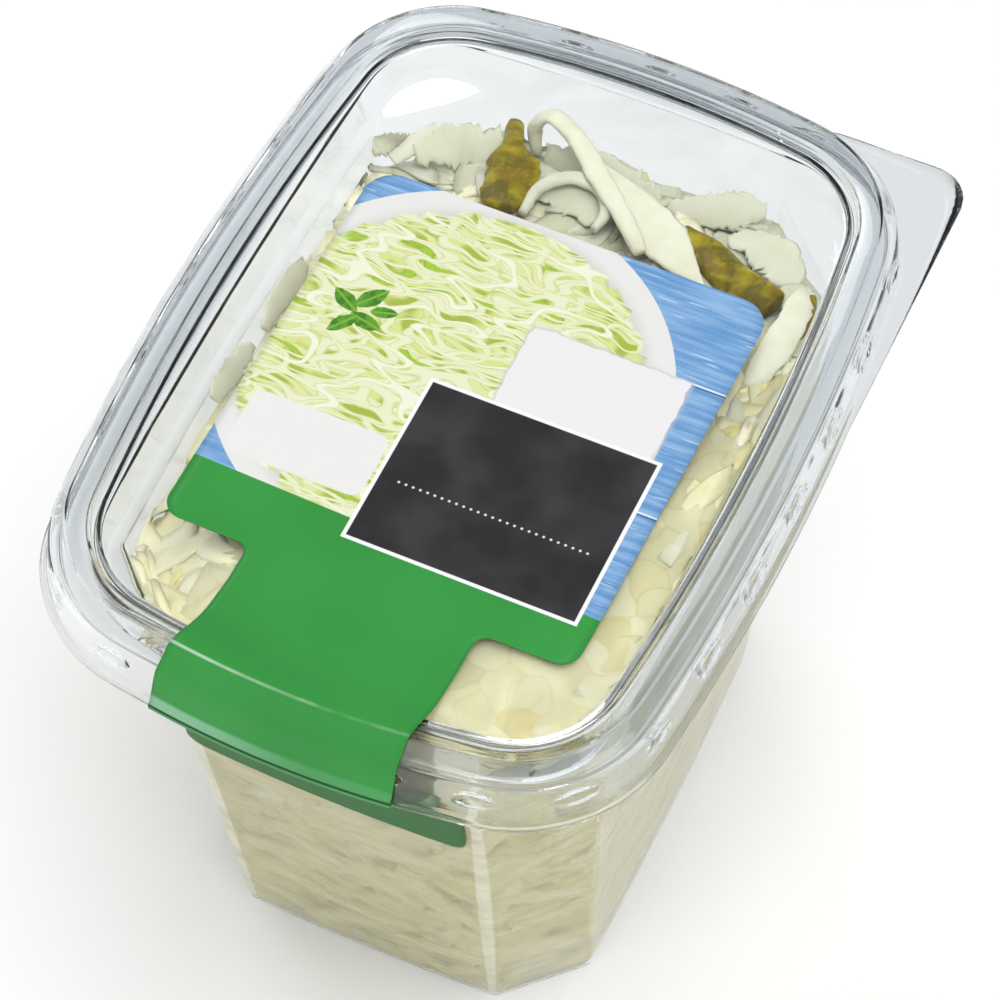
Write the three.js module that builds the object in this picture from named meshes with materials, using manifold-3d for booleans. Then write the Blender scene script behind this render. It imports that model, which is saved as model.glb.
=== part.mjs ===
// Clear deli tub of shredded cabbage salad, shut by a press-on lid with a wrap-over label.
// Millimetres, +Z up. The origin is the middle of the tub's base. +X is the short way, -Y the strap side.
import * as THREE from 'three';
import Module from 'manifold-3d';

const wasm = await Module();
wasm.setup();

// ---------------------------------------------------------------- driving dimensions
const RIM_PLANE = 79.2; // height of the lid's lowest edge
const BASE = { halfX: 27.9, halfY: 36.4, chamfer: 9.9, bow: 0.4 };
const WALL_TOP = { z: 77.0, halfX: 33.2, halfY: 48.3, chamfer: 12.8, bow: 0.9 };
const BASE_EDGE = 1.4; // bevel round the foot
const TUB_WALL = 0.7;
const MOUTH = { z: 79.0, halfX: 34.0, halfY: 48.5, radius: 11 };
const MOUTH_TOP = { z: 84.9, halfX: 34.5, halfY: 48.8, radius: 11.4 };
const TUB_RIM = { offset: 1.2, top: 85.4, plate: 0.7, lip: 1.2 };

// The lid's lines are all offsets of one bowed, rounded rectangle: the outer edge of its raised ring.
const LID = { coreX: 22.15, coreY: 36.1, radius: 16.7, bowX: 1.95, bowY: 1.6, wall: 0.6 };
// Each row is the offset from that line and the height over the rim plane, from the panel outwards.
const LID_SECTION = [
  [-4.25, 7.3], [-4.05, 8.1], [-3.6, 8.1], [-3.45, 7.3], [-3.2, 7.3], [-2.8, 9.3],
  [-0.5, 9.95], [0.1, 9.8], [2.1, 6.9], [2.35, 6.4], [3.15, 1.1], [3.75, 0.8],
];
const LID_LIP = 0.8; // height of the lid's outer edge
const TAB = { right: 42.3, rear: 58.1, corner: 5, leftEnd: 12, blend: 24, frontEnd: 10, plate: 0.6 };

const SHEET = 0.25; // label thickness
const GAP = 0.4; // kept between touching pieces
const LABEL = {
  rear: 23.4, front: -34.5, half: 27, centre: 1.1, lean: 0.0215, rearCorner: 4, frontCorner: 2.6,
  fillet: 1.7, strapHalf: 15, strapHalfLow: 15.8, strapCentreLow: -1.9, wallHalf: 19, wallCentre: -1,
  wallTop: 66, wallBottom: 53, wallCorner: 2.2,
};

const SALAD = {
  floor: 1.1, inset: 2.3, skin: 1.15, high: 84.4, rear: 71.5, frontLeftDrop: 12, rearLeftDrop: 8, ceiling: 85.2,
};
const SHRED = { width: [2, 3.4], thick: 1.3, length: [14, 32], onTop: 34, perWall: 4, perChamfer: 1 };

const SIDE_STEPS = 4;
const CORNER_STEPS = 6;

// ---------------------------------------------------------------- small tools
function randomSource(seed) {
  let state = seed;
  return () => {
    state = (state + 0x6d2b79f5) | 0;
    let t = Math.imul(state ^ (state >>> 15), 1 | state);
    t = (t + Math.imul(t ^ (t >>> 7), 61 | t)) ^ t;
    return ((t ^ (t >>> 14)) >>> 0) / 4294967296;
  };
}
const random = randomSource(20417);
const between = (low, high) => low + (high - low) * random();
const mix = (a, b, t) => a + (b - a) * t;
const clamp01 = (t) => Math.min(1, Math.max(0, t));
const smooth = (t) => clamp01(t) ** 2 * (3 - 2 * clamp01(t));

// Closed body from rings of points with equal counts, capped at both ends and turned to face out.
function loft(rings) {
  const count = rings[0].length;
  const points = rings.flat();
  const faces = [];
  for (let i = 0; i + 1 < rings.length; i++) {
    for (let j = 0; j < count; j++) {
      const k = (j + 1) % count;
      faces.push(i * count + j, i * count + k, (i + 1) * count + k);
      faces.push(i * count + j, (i + 1) * count + k, (i + 1) * count + j);
    }
  }
  for (const [ring, start, flip] of [
    [rings[0], 0, true],
    [rings.at(-1), (rings.length - 1) * count, false],
  ]) {
    const centre = new THREE.Vector3();
    ring.forEach((p) => centre.addScaledVector(p, 1 / count));
    const middle = points.push(centre) - 1;
    for (let j = 0; j < count; j++) {
      const pair = [start + j, start + ((j + 1) % count)];
      if (flip) pair.reverse();
      faces.push(middle, ...pair);
    }
  }
  return bodyFrom(points, faces);
}

function bodyFrom(points, faces) {
  let volume = 0;
  for (let i = 0; i < faces.length; i += 3) {
    const [a, b, c] = [points[faces[i]], points[faces[i + 1]], points[faces[i + 2]]];
    volume += a.dot(new THREE.Vector3().crossVectors(b, c));
  }
  if (volume < 0) faces.reverse();
  const geometry = new THREE.BufferGeometry().setFromPoints(points);
  geometry.setIndex(faces);
  return geometry;
}

function toSolid(geometry) {
  const vertProperties = new Float32Array(geometry.attributes.position.array);
  return new wasm.Manifold(new wasm.Mesh({ numProp: 3, vertProperties, triVerts: new Uint32Array(geometry.index.array) }));
}

function toGeometry(solid) {
  const mesh = solid.getMesh();
  const geometry = new THREE.BufferGeometry();
  geometry.setAttribute('position', new THREE.BufferAttribute(mesh.vertProperties, 3));
  geometry.setIndex(new THREE.BufferAttribute(mesh.triVerts, 1));
  return geometry;
}

// ---------------------------------------------------------------- outlines
// Bowed rounded rectangle: four bowed core sides, moved out by the corner radius.
function bowedRectangle(coreX, coreY, bowX, bowY, radius) {
  const sides = [0, 1, 2, 3].map((k) => {
    const long = k % 2 === 0;
    const reach = long ? coreY - bowY : coreX - bowX;
    const bow = long ? bowX : bowY;
    const turn = (k * Math.PI) / 2;
    return Array.from({ length: SIDE_STEPS + 1 }, (_, i) => {
      const t = (2 * i) / SIDE_STEPS - 1;
      const out = (long ? coreX : coreY) - bow * t * t;
      const point = new THREE.Vector2(out, t * reach).rotateAround(new THREE.Vector2(), turn);
      return { point, angle: turn + Math.atan2(2 * bow * t, reach) };
    });
  });
  const outline = [];
  const add = (point, angle) => {
    outline.push(new THREE.Vector2(point.x + radius * Math.cos(angle), point.y + radius * Math.sin(angle)));
  };
  sides.forEach((side, k) => {
    side.forEach(({ point, angle }) => add(point, angle));
    const from = side.at(-1).angle;
    const to = sides[(k + 1) % 4][0].angle + (k === 3 ? 2 * Math.PI : 0);
    for (let i = 1; i < CORNER_STEPS; i++) add(side.at(-1).point, mix(from, to, i / CORNER_STEPS));
  });
  return outline;
}

// Rectangle with cut corners, with the same count of points.
function chamferedRectangle(halfX, halfY, chamfer, bow) {
  const outline = [];
  for (let k = 0; k < 4; k++) {
    const long = k % 2 === 0;
    const [near, far] = long ? [halfX, halfY] : [halfY, halfX];
    const turn = (k * Math.PI) / 2;
    const add = (x, y) => outline.push(new THREE.Vector2(x, y).rotateAround(new THREE.Vector2(), turn));
    for (let i = 0; i <= SIDE_STEPS; i++) {
      const t = (2 * i) / SIDE_STEPS - 1;
      add(near - bow * t * t, t * (far - chamfer));
    }
    for (let i = 1; i < CORNER_STEPS; i++) {
      const t = i / CORNER_STEPS;
      add(mix(near - bow, near - chamfer, t), mix(far - chamfer, far - bow, t));
    }
  }
  return outline;
}

const ringAt = (outline, z) => outline.map((p) => new THREE.Vector3(p.x, p.y, z));
const lidOutline = (offset) => bowedRectangle(LID.coreX, LID.coreY, LID.bowX, LID.bowY, LID.radius + offset);

// Half sizes of the tub's outside at a height, from its foot to the top of its flat walls.
function tubAt(z) {
  const t = z / WALL_TOP.z;
  return Object.fromEntries(
    ['halfX', 'halfY', 'chamfer', 'bow'].map((key) => [key, mix(BASE[key], WALL_TOP[key], t)]),
  );
}

function wallOutline(z, inset) {
  const { halfX, halfY, chamfer, bow } = tubAt(Math.min(z, WALL_TOP.z));
  const cut = chamfer - inset * (2 - Math.SQRT2);
  return chamferedRectangle(halfX - inset, halfY - inset, cut, bow);
}

// ---------------------------------------------------------------- tub
function mouthRing({ z, halfX, halfY, radius }, inset) {
  const r = radius - inset;
  return ringAt(bowedRectangle(halfX - radius, halfY - radius, WALL_TOP.bow, WALL_TOP.bow, r), z);
}

function makeTub() {
  const rimUnder = TUB_RIM.top - TUB_RIM.plate;
  const rimEdge = lidOutline(TUB_RIM.offset);
  const rimInner = lidOutline(TUB_RIM.offset - TUB_RIM.plate);
  const levels = [BASE_EDGE, WALL_TOP.z / 2, WALL_TOP.z];
  const insideWall = levels.map((z) => ringAt(wallOutline(z, TUB_WALL), Math.max(z, TUB_WALL + BASE_EDGE)));
  const outsideWall = levels.map((z) => ringAt(wallOutline(z, 0), z));
  return loft([
    ringAt(wallOutline(0, TUB_WALL + BASE_EDGE), TUB_WALL),
    ...insideWall,
    mouthRing({ ...MOUTH, z: MOUTH.z + TUB_WALL }, TUB_WALL),
    mouthRing({ ...MOUTH_TOP, z: TUB_RIM.top }, TUB_WALL),
    ringAt(rimEdge, TUB_RIM.top),
    ringAt(rimEdge, TUB_RIM.top - TUB_RIM.lip),
    ringAt(rimInner, TUB_RIM.top - TUB_RIM.lip),
    ringAt(rimInner, rimUnder),
    mouthRing({ ...MOUTH_TOP, z: rimUnder }, 0),
    mouthRing(MOUTH, 0),
    ...outsideWall.reverse(),
    ringAt(wallOutline(0, BASE_EDGE), 0),
  ]);
}

// ---------------------------------------------------------------- lid
// The section's inner side: each corner moved in by the wall along the mean of its two normals.
function innerSection(section) {
  return section.map(([x, z], i) => {
    const [before, after] = [section[Math.max(i - 1, 0)], section[Math.min(i + 1, section.length - 1)]];
    const normals = [[before, [x, z]], [[x, z], after]]
      .map(([a, b]) => new THREE.Vector2(a[1] - b[1], b[0] - a[0]))
      .filter((n) => n.length() > 0)
      .map((n) => n.normalize());
    const mean = normals.reduce((sum, n) => sum.clone().add(n)).normalize();
    const spread = Math.max(mean.dot(normals[0]), 0.75);
    return [x - (mean.x * LID.wall) / spread, z - (mean.y * LID.wall) / spread];
  });
}

function makeLid() {
  const outside = LID_SECTION.slice(0, -2);
  const [skirtFoot, lip] = LID_SECTION.slice(-2);
  const inside = innerSection([...outside, skirtFoot]);
  inside[0] = [outside[0][0], outside[0][1] - LID.wall];
  const inFoot = [skirtFoot[0] - LID.wall, 0];
  const section = [...outside, skirtFoot, lip, [lip[0], 0], inFoot, ...inside.slice(0, -1).reverse()];
  const shell = loft(section.map(([offset, z]) => ringAt(lidOutline(offset), RIM_PLANE + z)));
  return toGeometry(toSolid(shell).add(toSolid(makeTab())));
}

// Flat corner plate that the lid is lifted by, from inside the lid's edge to a small outer corner.
function makeTab() {
  const lipOffset = LID_SECTION.at(-1)[0];
  const edge = lidOutline(lipOffset - 0.3).filter((p) => p.x > TAB.leftEnd && p.y > TAB.frontEnd);
  edge.sort((a, b) => Math.atan2(a.y, a.x) - Math.atan2(b.y, b.x));
  const shape = new THREE.Shape();
  shape.moveTo(TAB.blend, TAB.rear);
  shape.lineTo(TAB.right - TAB.corner, TAB.rear);
  shape.absarc(TAB.right - TAB.corner, TAB.rear - TAB.corner, TAB.corner, Math.PI / 2, 0, true);
  shape.lineTo(TAB.right, TAB.frontEnd);
  edge.forEach((p) => shape.lineTo(p.x, p.y));
  const plate = new THREE.ExtrudeGeometry(shape, { depth: TAB.plate, bevelEnabled: false, curveSegments: 4 });
  plate.translate(0, 0, RIM_PLANE + 0.1);
  return mergedPositions(plate);
}

function mergedPositions(geometry) {
  const source = geometry.attributes.position;
  const seen = new Map();
  const points = [];
  const faces = [];
  for (let i = 0; i < source.count; i++) {
    const p = new THREE.Vector3().fromBufferAttribute(source, i);
    const key = p.toArray().map((v) => v.toFixed(4)).join();
    if (!seen.has(key)) seen.set(key, points.push(p) - 1);
    faces.push(seen.get(key));
  }
  return bodyFrom(points, faces);
}

// ---------------------------------------------------------------- label
const cornerInset = (distance, radius) =>
  distance >= radius ? 0 : radius - Math.sqrt(radius ** 2 - (radius - distance) ** 2);

// Stations of the sheet's middle, from its rear edge over the ring and down to the tub's front wall.
function labelStations() {
  const lift = GAP + SHEET / 2;
  const panel = RIM_PLANE + LID_SECTION[0][1] + lift;
  const front = LID.coreY + LID.radius;
  const stations = [];
  const flat = (y, half) => {
    const centre = LABEL.centre + LABEL.lean * y;
    stations.push({ y, z: panel, left: centre - half, right: centre + half, bow: 0 });
  };
  for (const d of [0, 0.4, 1.3, 2.6]) flat(LABEL.rear - d, LABEL.half - cornerInset(d, LABEL.rearCorner));
  for (const y of [LABEL.rear - LABEL.rearCorner, -5]) flat(y, LABEL.half);
  for (const d of [2.6, 1.5, 0.6, 0.15]) {
    flat(LABEL.front + d, LABEL.half - cornerInset(d, LABEL.frontCorner));
  }
  for (const d of [0, 0.4, 1]) flat(LABEL.front - d, LABEL.strapHalf + cornerInset(d, LABEL.fillet));
  flat(LABEL.front - LABEL.fillet, LABEL.strapHalf);
  const strap = (y, z, t, bow) => {
    const half = mix(LABEL.strapHalf, LABEL.strapHalfLow, t);
    const centre = mix(LABEL.centre + LABEL.lean * -40, LABEL.strapCentreLow, t);
    stations.push({ y, z, left: centre - half, right: centre + half, bow });
  };
  strap(-45, panel, 0, 0);
  strap(-(front - 2.8), RIM_PLANE + 9.35 + lift, 0.3, LID.bowY);
  strap(-(front - 0.4), RIM_PLANE + 9.95 + lift, 0.4, LID.bowY);
  strap(-(front + 0.55), RIM_PLANE + 9.7 + lift, 0.5, LID.bowY);
  strap(-(front + 2.2 + lift), RIM_PLANE + 7.2, 0.75, LID.bowY);
  strap(-(front + 3.75 + lift), RIM_PLANE + 1.1, 1, LID.bowY);
  strap(-(front + 3.75 + lift), RIM_PLANE - 0.2, 1, LID.bowY);
  strap(-(front + 3.35), RIM_PLANE - lift - 0.1, 1, LID.bowY);
  const wall = (z, half) => {
    const { halfY, bow } = tubAt(z);
    const { wallCentre } = LABEL;
    stations.push({ y: -(halfY + lift), z, left: wallCentre - half, right: wallCentre + half, bow });
  };
  wall(LABEL.wallTop + 2, LABEL.strapHalfLow);
  wall(LABEL.wallTop, LABEL.strapHalfLow + 0.6);
  wall(LABEL.wallTop - 1.2, LABEL.wallHalf);
  for (const d of [LABEL.wallCorner, 0.9, 0.25, 0]) {
    wall(LABEL.wallBottom + d, LABEL.wallHalf - cornerInset(d, LABEL.wallCorner));
  }
  return stations;
}

function makeLabel() {
  const stations = labelStations();
  const columns = 6;
  const span = LID.coreX - LID.bowX;
  const rings = stations.map((station, i) => {
    const before = stations[Math.max(i - 1, 0)];
    const after = stations[Math.min(i + 1, stations.length - 1)];
    const along = new THREE.Vector2(after.y - before.y, after.z - before.z).normalize();
    const out = new THREE.Vector2(along.y, -along.x).multiplyScalar(SHEET / 2);
    const row = (sign) => Array.from({ length: columns + 1 }, (_, j) => {
      const x = mix(station.left, station.right, j / columns);
      const sag = station.bow * (x / span) ** 2;
      return new THREE.Vector3(x, station.y + sag + sign * out.x, station.z + sign * out.y);
    });
    return [...row(1), ...row(-1).reverse()];
  });
  return loft(rings);
}

// ---------------------------------------------------------------- salad
// Height of the heap: against the lid in front, lower behind and on the left.
function heapTop(x, y) {
  const back = clamp01((y + 6) / 54) ** 1.25;
  const left = smooth((-x - 15) / 17) * (1 - 0.4 * back);
  const leftDrop = mix(SALAD.frontLeftDrop, SALAD.rearLeftDrop, smooth((y - 4) / 12));
  const bumps = 0.7 * Math.sin(x / 4.1 + y / 9) * Math.cos(y / 5.3) + 0.4 * Math.sin(x / 2.3 - y / 3.1);
  return mix(SALAD.high, SALAD.rear, back) - leftDrop * left + bumps * (0.5 + back);
}

function heapNormal(x, y) {
  const step = 1.5;
  const slopeX = (heapTop(x + step, y) - heapTop(x - step, y)) / (2 * step);
  const slopeY = (heapTop(x, y + step) - heapTop(x, y - step)) / (2 * step);
  return new THREE.Vector3(-slopeX, -slopeY, 1).normalize();
}

function makeCore() {
  const rings = [SALAD.floor, 20, 40, 60].map((z) => ringAt(wallOutline(z, SALAD.inset), z));
  const edge = wallOutline(WALL_TOP.z, SALAD.inset);
  const shrunk = (scale, drop) => edge.map((p) => {
    const [x, y] = [p.x * scale, p.y * scale];
    return new THREE.Vector3(x, y, heapTop(x, y) - drop);
  });
  rings.push(shrunk(1, 2.6), shrunk(0.965, 0.7));
  for (const scale of [0.84, 0.68, 0.51, 0.34, 0.17]) rings.push(shrunk(scale, 0));
  return loft(rings);
}

// A shred: a flat strip along a curve, thinner at its ends.
function makeShred(centres, normals, width, thick) {
  const curve = new THREE.CatmullRomCurve3(centres);
  const steps = centres.length;
  const rings = [];
  for (let i = 0; i <= steps; i++) {
    const t = i / steps;
    const centre = curve.getPoint(t);
    const along = curve.getTangent(t);
    const spot = Math.min(Math.floor(t * (normals.length - 1)), normals.length - 2);
    const up = normals[spot].clone().lerp(normals[spot + 1], t * (normals.length - 1) - spot);
    const side = new THREE.Vector3().crossVectors(along, up).normalize();
    up.crossVectors(side, along).normalize();
    const taper = 0.55 + 0.45 * Math.sin(Math.PI * (0.08 + 0.84 * t)) ** 0.5;
    const corner = (a, b) => centre.clone()
      .addScaledVector(side, (a * width * taper) / 2)
      .addScaledVector(up, (b * thick * taper) / 2);
    rings.push([corner(1, -1), corner(0.8, 1), corner(-0.8, 1), corner(-1, -1)]);
  }
  return loft(rings);
}

function insideWalls({ x, y, z }, margin) {
  const { halfX, halfY, chamfer, bow } = tubAt(Math.min(z, WALL_TOP.z));
  const cut = (halfX + halfY - chamfer - bow - Math.abs(x) - Math.abs(y)) / Math.SQRT2;
  return Math.min(halfX - bow - Math.abs(x), halfY - bow - Math.abs(y), cut) > margin;
}

function topShreds() {
  const shreds = [];
  let tries = 0;
  while (shreds.length < SHRED.onTop && tries++ < 4000) {
    const [x, y] = [between(-31, 31), between(-46, 46)];
    const length = between(...SHRED.length);
    const heading = between(0, Math.PI * 2);
    const bend = between(-1.1, 1.1);
    const width = between(...SHRED.width);
    const roll = between(-0.5, 0.5);
    const lift = between(-0.1, 0.75);
    const centres = [];
    const normals = [];
    let [px, py] = [x, y];
    for (let i = 0; i < 4; i++) {
      const angle = heading + bend * (i / 3 - 0.5);
      const arch = lift * Math.sin((Math.PI * i) / 3);
      const along = new THREE.Vector3(Math.cos(angle), Math.sin(angle), 0);
      centres.push(new THREE.Vector3(px, py, Math.min(heapTop(px, py) + 0.25 + arch, SALAD.ceiling - 1.2)));
      normals.push(heapNormal(px, py).applyAxisAngle(along, roll));
      px += (Math.cos(angle) * length) / 3;
      py += (Math.sin(angle) * length) / 3;
    }
    if (centres.every((p) => insideWalls(p, 3.5))) {
      shreds.push(makeShred(centres, normals, width, SHRED.thick));
    }
  }
  return shreds;
}

// One of the eight walls, as a frame to lay shreds on: its middle, its sideways way and its half width.
function wallFrames() {
  const frames = [];
  for (let k = 0; k < 8; k++) {
    const turn = (k * Math.PI) / 4;
    const out = new THREE.Vector3(Math.cos(turn), Math.sin(turn), 0);
    const side = new THREE.Vector3(-Math.sin(turn), Math.cos(turn), 0);
    const place = (z, u) => {
      const { halfX, halfY, chamfer, bow } = tubAt(z);
      if (k % 2) {
        const cut = (chamfer + bow) / 2;
        const corner = new THREE.Vector3(halfX - cut, halfY - cut, z);
        const half = (chamfer - bow) * Math.SQRT1_2;
        return { spot: corner.multiply(new THREE.Vector3(Math.sign(out.x), Math.sign(out.y), 1)), half };
      }
      const half = (k % 4 === 0 ? halfY : halfX) - chamfer;
      const reach = (k % 4 === 0 ? halfX : halfY) - bow * (u / half) ** 2;
      return { spot: out.clone().multiplyScalar(reach).setZ(z), half };
    };
    frames.push({ out, side, place, chamfered: k % 2 === 1 });
  }
  return frames;
}

function wallShreds() {
  const shreds = [];
  for (const { out, side, place, chamfered } of wallFrames()) {
    const wanted = chamfered ? SHRED.perChamfer : SHRED.perWall;
    let made = 0;
    let tries = 0;
    while (made < wanted && tries++ < 600) {
      const z = between(6, 66);
      const across = between(-0.8, 0.8) * place(z, 0).half;
      const heading = between(-0.9, 0.9) + (chamfered ? Math.PI / 2 : 0);
      const bend = between(-0.8, 0.8);
      const length = between(12, 24);
      const width = between(...SHRED.width);
      const centres = [];
      const normals = [];
      let [u, v] = [across, z];
      let fits = true;
      for (let i = 0; i < 4; i++) {
        const { spot, half } = place(v, u);
        fits = fits && Math.abs(u) < half - 2.6 && v > 4 && v < 68;
        const depth = SALAD.skin + SHRED.thick / 2 + 0.15;
        centres.push(spot.addScaledVector(side, u).addScaledVector(out, -depth));
        normals.push(out.clone());
        const angle = heading + bend * (i / 3 - 0.5);
        u += (Math.cos(angle) * length) / 3;
        v += (Math.sin(angle) * length) / 3;
      }
      if (!fits) continue;
      shreds.push(makeShred(centres, normals, width, SHRED.thick));
      made++;
    }
  }
  return shreds;
}

// Named large pieces that lie on the heap's back slope: plan points, width, thickness and lift.
const RIB = { plan: [[-14, 43.4], [-6, 42.4], [4, 34.5], [11.5, 26.5]], width: 3.4, thick: 1.7, lift: 1.3 };
const CURL = { plan: [[28.6, 33], [28.9, 28], [28.6, 21.5], [27.4, 16]], width: 2.4, thick: 1.5, lift: 1.4 };
const FLAP = { plan: [[9, 41.5], [14.5, 39.5], [19, 39], [22.8, 37.4]], width: 3.4, thick: 1.3, lift: 0.9 };
const PEPPERS = [
  { plan: [[-16.2, 44.9], [-14.2, 40.4], [-12.3, 35], [-11.2, 29]], width: [2.9, 3.1, 6.6, 6.2], thick: 2.4, lift: 1.5 },
  { plan: [[11.4, 36.4], [16, 33.8], [21, 31], [26.2, 29.4]], width: [3, 4.8, 5.2, 5.2], thick: 2.6, lift: 1.6 },
  { plan: [[30.1, 32.4], [30.6, 29.6], [30.6, 26.6]], width: [1.4, 1.8, 1.4], thick: 1.8, lift: 1.6 },
];

const onHeap = ([x, y], lift) => new THREE.Vector3(x, y, Math.min(heapTop(x, y) + lift, SALAD.ceiling - 1.4));

function namedShred({ plan, width, thick, lift }) {
  return makeShred(plan.map((p) => onHeap(p, lift)), plan.map(([x, y]) => heapNormal(x, y)), width, thick);
}

// A pepper strip: eight-sided section whose width changes along its length.
function makePepper({ plan, width, thick, lift }, grow) {
  const curve = new THREE.CatmullRomCurve3(plan.map((p) => onHeap(p, lift)));
  const steps = 9;
  const rings = [];
  for (let i = 0; i <= steps; i++) {
    const t = i / steps;
    const centre = curve.getPoint(t);
    const along = curve.getTangent(t);
    const side = new THREE.Vector3().crossVectors(along, heapNormal(centre.x, centre.y)).normalize();
    const up = new THREE.Vector3().crossVectors(side, along).normalize();
    const spot = Math.min(Math.floor(t * (width.length - 1)), width.length - 2);
    const wide = mix(width[spot], width[spot + 1], t * (width.length - 1) - spot);
    const end = i === 0 || i === steps ? 0.72 : 1;
    const [a, b] = [(wide / 2) * end + grow, (thick / 2) * end + grow];
    if (i === 0) centre.addScaledVector(along, -grow);
    if (i === steps) centre.addScaledVector(along, grow);
    rings.push(Array.from({ length: 8 }, (_, j) => {
      const angle = ((j + 0.5) * Math.PI) / 4;
      return centre.clone()
        .addScaledVector(side, a * 1.08 * Math.cos(angle))
        .addScaledVector(up, b * 1.08 * Math.sin(angle));
    }));
  }
  return loft(rings);
}

function makeSalad() {
  let heap = toSolid(makeCore());
  const pieces = [RIB, CURL, FLAP].map(namedShred);
  for (const piece of [...pieces, ...topShreds(), ...wallShreds()]) heap = heap.add(toSolid(piece));
  for (const pepper of PEPPERS) heap = heap.subtract(toSolid(makePepper(pepper, GAP)));
  const parts = heap.simplify(0.04).decompose().sort((a, b) => b.volume() - a.volume());
  return toGeometry(parts[0]);
}

// ---------------------------------------------------------------- the object
const clear = { color: '#e8eef0', roughness: 0.08, metalness: 0, transparent: true, opacity: 0.3 };
const finishes = {
  tub: clear,
  lid: clear,
  label: { color: '#3b9a43', roughness: 0.45, metalness: 0 },
  salad: { color: '#ebe6b4', roughness: 0.35, metalness: 0 },
  pepper: { color: '#8d8620', roughness: 0.3, metalness: 0 },
};

function named(name, geometry, finish) {
  geometry.computeVertexNormals();
  const mesh = new THREE.Mesh(geometry, new THREE.MeshStandardMaterial(finishes[finish]));
  mesh.name = name;
  return mesh;
}

const pack = new THREE.Group();
pack.name = 'salad_tub';
pack.add(named('tub', makeTub(), 'tub'));
pack.add(named('lid', makeLid(), 'lid'));
pack.add(named('label', makeLabel(), 'label'));
const contents = new THREE.Group();
contents.add(named('salad', makeSalad(), 'salad'));
PEPPERS.forEach((pepper, i) => contents.add(named(`pepper_strip_${i + 1}`, makePepper(pepper, 0), 'pepper')));
pack.add(contents);

export default pack;
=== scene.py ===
import math

import bmesh
import bpy
import numpy as np
from mathutils import Euler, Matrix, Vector


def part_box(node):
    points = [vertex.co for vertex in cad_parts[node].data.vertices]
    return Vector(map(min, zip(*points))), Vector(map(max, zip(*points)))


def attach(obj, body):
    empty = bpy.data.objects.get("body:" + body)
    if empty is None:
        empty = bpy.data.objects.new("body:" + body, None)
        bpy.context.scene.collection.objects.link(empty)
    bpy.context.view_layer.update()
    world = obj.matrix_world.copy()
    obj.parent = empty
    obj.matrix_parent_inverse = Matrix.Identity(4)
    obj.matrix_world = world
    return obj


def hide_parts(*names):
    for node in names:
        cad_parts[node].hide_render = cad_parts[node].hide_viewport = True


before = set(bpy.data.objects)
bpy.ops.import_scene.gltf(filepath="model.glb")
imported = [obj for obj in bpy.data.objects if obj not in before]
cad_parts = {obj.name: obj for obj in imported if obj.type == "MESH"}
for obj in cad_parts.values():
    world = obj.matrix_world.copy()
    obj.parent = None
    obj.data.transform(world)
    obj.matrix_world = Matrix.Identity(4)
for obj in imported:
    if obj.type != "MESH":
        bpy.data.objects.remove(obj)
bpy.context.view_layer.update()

# A clear deli tub of shredded cabbage salad, shut by a clear press-on lid with a wrap-over label.
# Sizes are millimetres, as in the part's source. MM turns them into Blender's metres when a mesh is made.
MM = 0.001
draws = np.random.default_rng(20417)

# ---------------------------------------------------------------- sizes, from model.glb where it has them
RIM_PLANE = (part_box("lid")[0] / MM).z
TUB_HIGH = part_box("tub")[1] / MM

BASE = dict(x=27.9, y=36.4, chamfer=9.9, bow=0.4)
WALL_TOP = dict(x=33.2, y=48.3, chamfer=12.8, bow=0.9)
WALL_HEIGHT = 77.0
FOOT_BEVEL = 1.4
WALL_EDGE_RADIUS = 1.6
TUB_WALL = 0.6
MOUTH_LOW = dict(z=79.0, x=34.0, y=48.5, radius=11.0)
MOUTH_HIGH = dict(x=34.5, y=48.8, radius=11.4)
MOUTH_INSIDE = dict(x=34.0, y=48.5, chamfer=8.4, bow=0.9)
RIM_PLATE = 0.7

RING = dict(core_x=22.15, core_y=36.1, bow_x=1.95, bow_y=1.6, radius=16.7)
RING_REACH = RING["core_y"] + RING["radius"]
LID_WALL = 0.55
PANEL_RISE = 7.3
# The lid from its panel outwards: offset from the ring's outer line, height over the rim plane.
PANEL_EDGE = -5.2
LID_SECTION = (
    (PANEL_EDGE, 7.3), (-4.6, 7.3), (-4.35, 7.33), (-4.2, 7.5), (-4.1, 7.9), (-3.95, 8.08), (-3.75, 8.14),
    (-3.6, 7.95), (-3.5, 7.55), (-3.4, 7.35), (-3.25, 7.3), (-3.1, 7.45), (-3.0, 7.9), (-2.9, 8.8),
    (-2.75, 9.15), (-2.5, 9.35), (-1.6, 9.7), (-0.7, 9.93), (-0.2, 9.97), (0.1, 9.85), (0.3, 9.6),
    (1.2, 8.3), (1.9, 7.2), (2.15, 6.85), (2.3, 6.45), (2.4, 5.9), (2.48, 5.3), (2.52, 5.05), (2.56, 4.8),
    (2.6, 4.55), (2.64, 4.3), (2.68, 4.05), (2.72, 3.8), (2.76, 3.55), (2.8, 3.3), (2.84, 3.05), (2.88, 2.75),
    (3.0, 1.9), (3.1, 1.2), (3.2, 0.8), (3.35, 0.62),
)
LIP_OFFSET = 3.8
TAB = dict(right=42.3, rear=58.1, corner=5.0, blend=24.0, left_end=12.0)
SKIRT = dict(middle=2.6, inner=2.4, outer=2.95)
SNAP_HEIGHT = 4.0
SNAPS_ON_SIDE = (0, 12.25, 24.5, 36.75)
SNAPS_ON_END = (0, 11.75, 23.5)
SNAP_SIZE = dict(half_length=2.7, half_height=1.05, depth=0.6)

SIDE_STEPS = 144
CORNER_STEPS = 28

SALAD_CEILING = RIM_PLANE + PANEL_RISE - LID_WALL
# The heap's height in front and at the rear, and where it falls away to the rear and to the left.
HEAP = dict(high=84.4, rear=71.5, slope_start=-6, slope_end=48, left_start=15, left_end=32, left_drop=12)
HEAP_RINGS = 44
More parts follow.
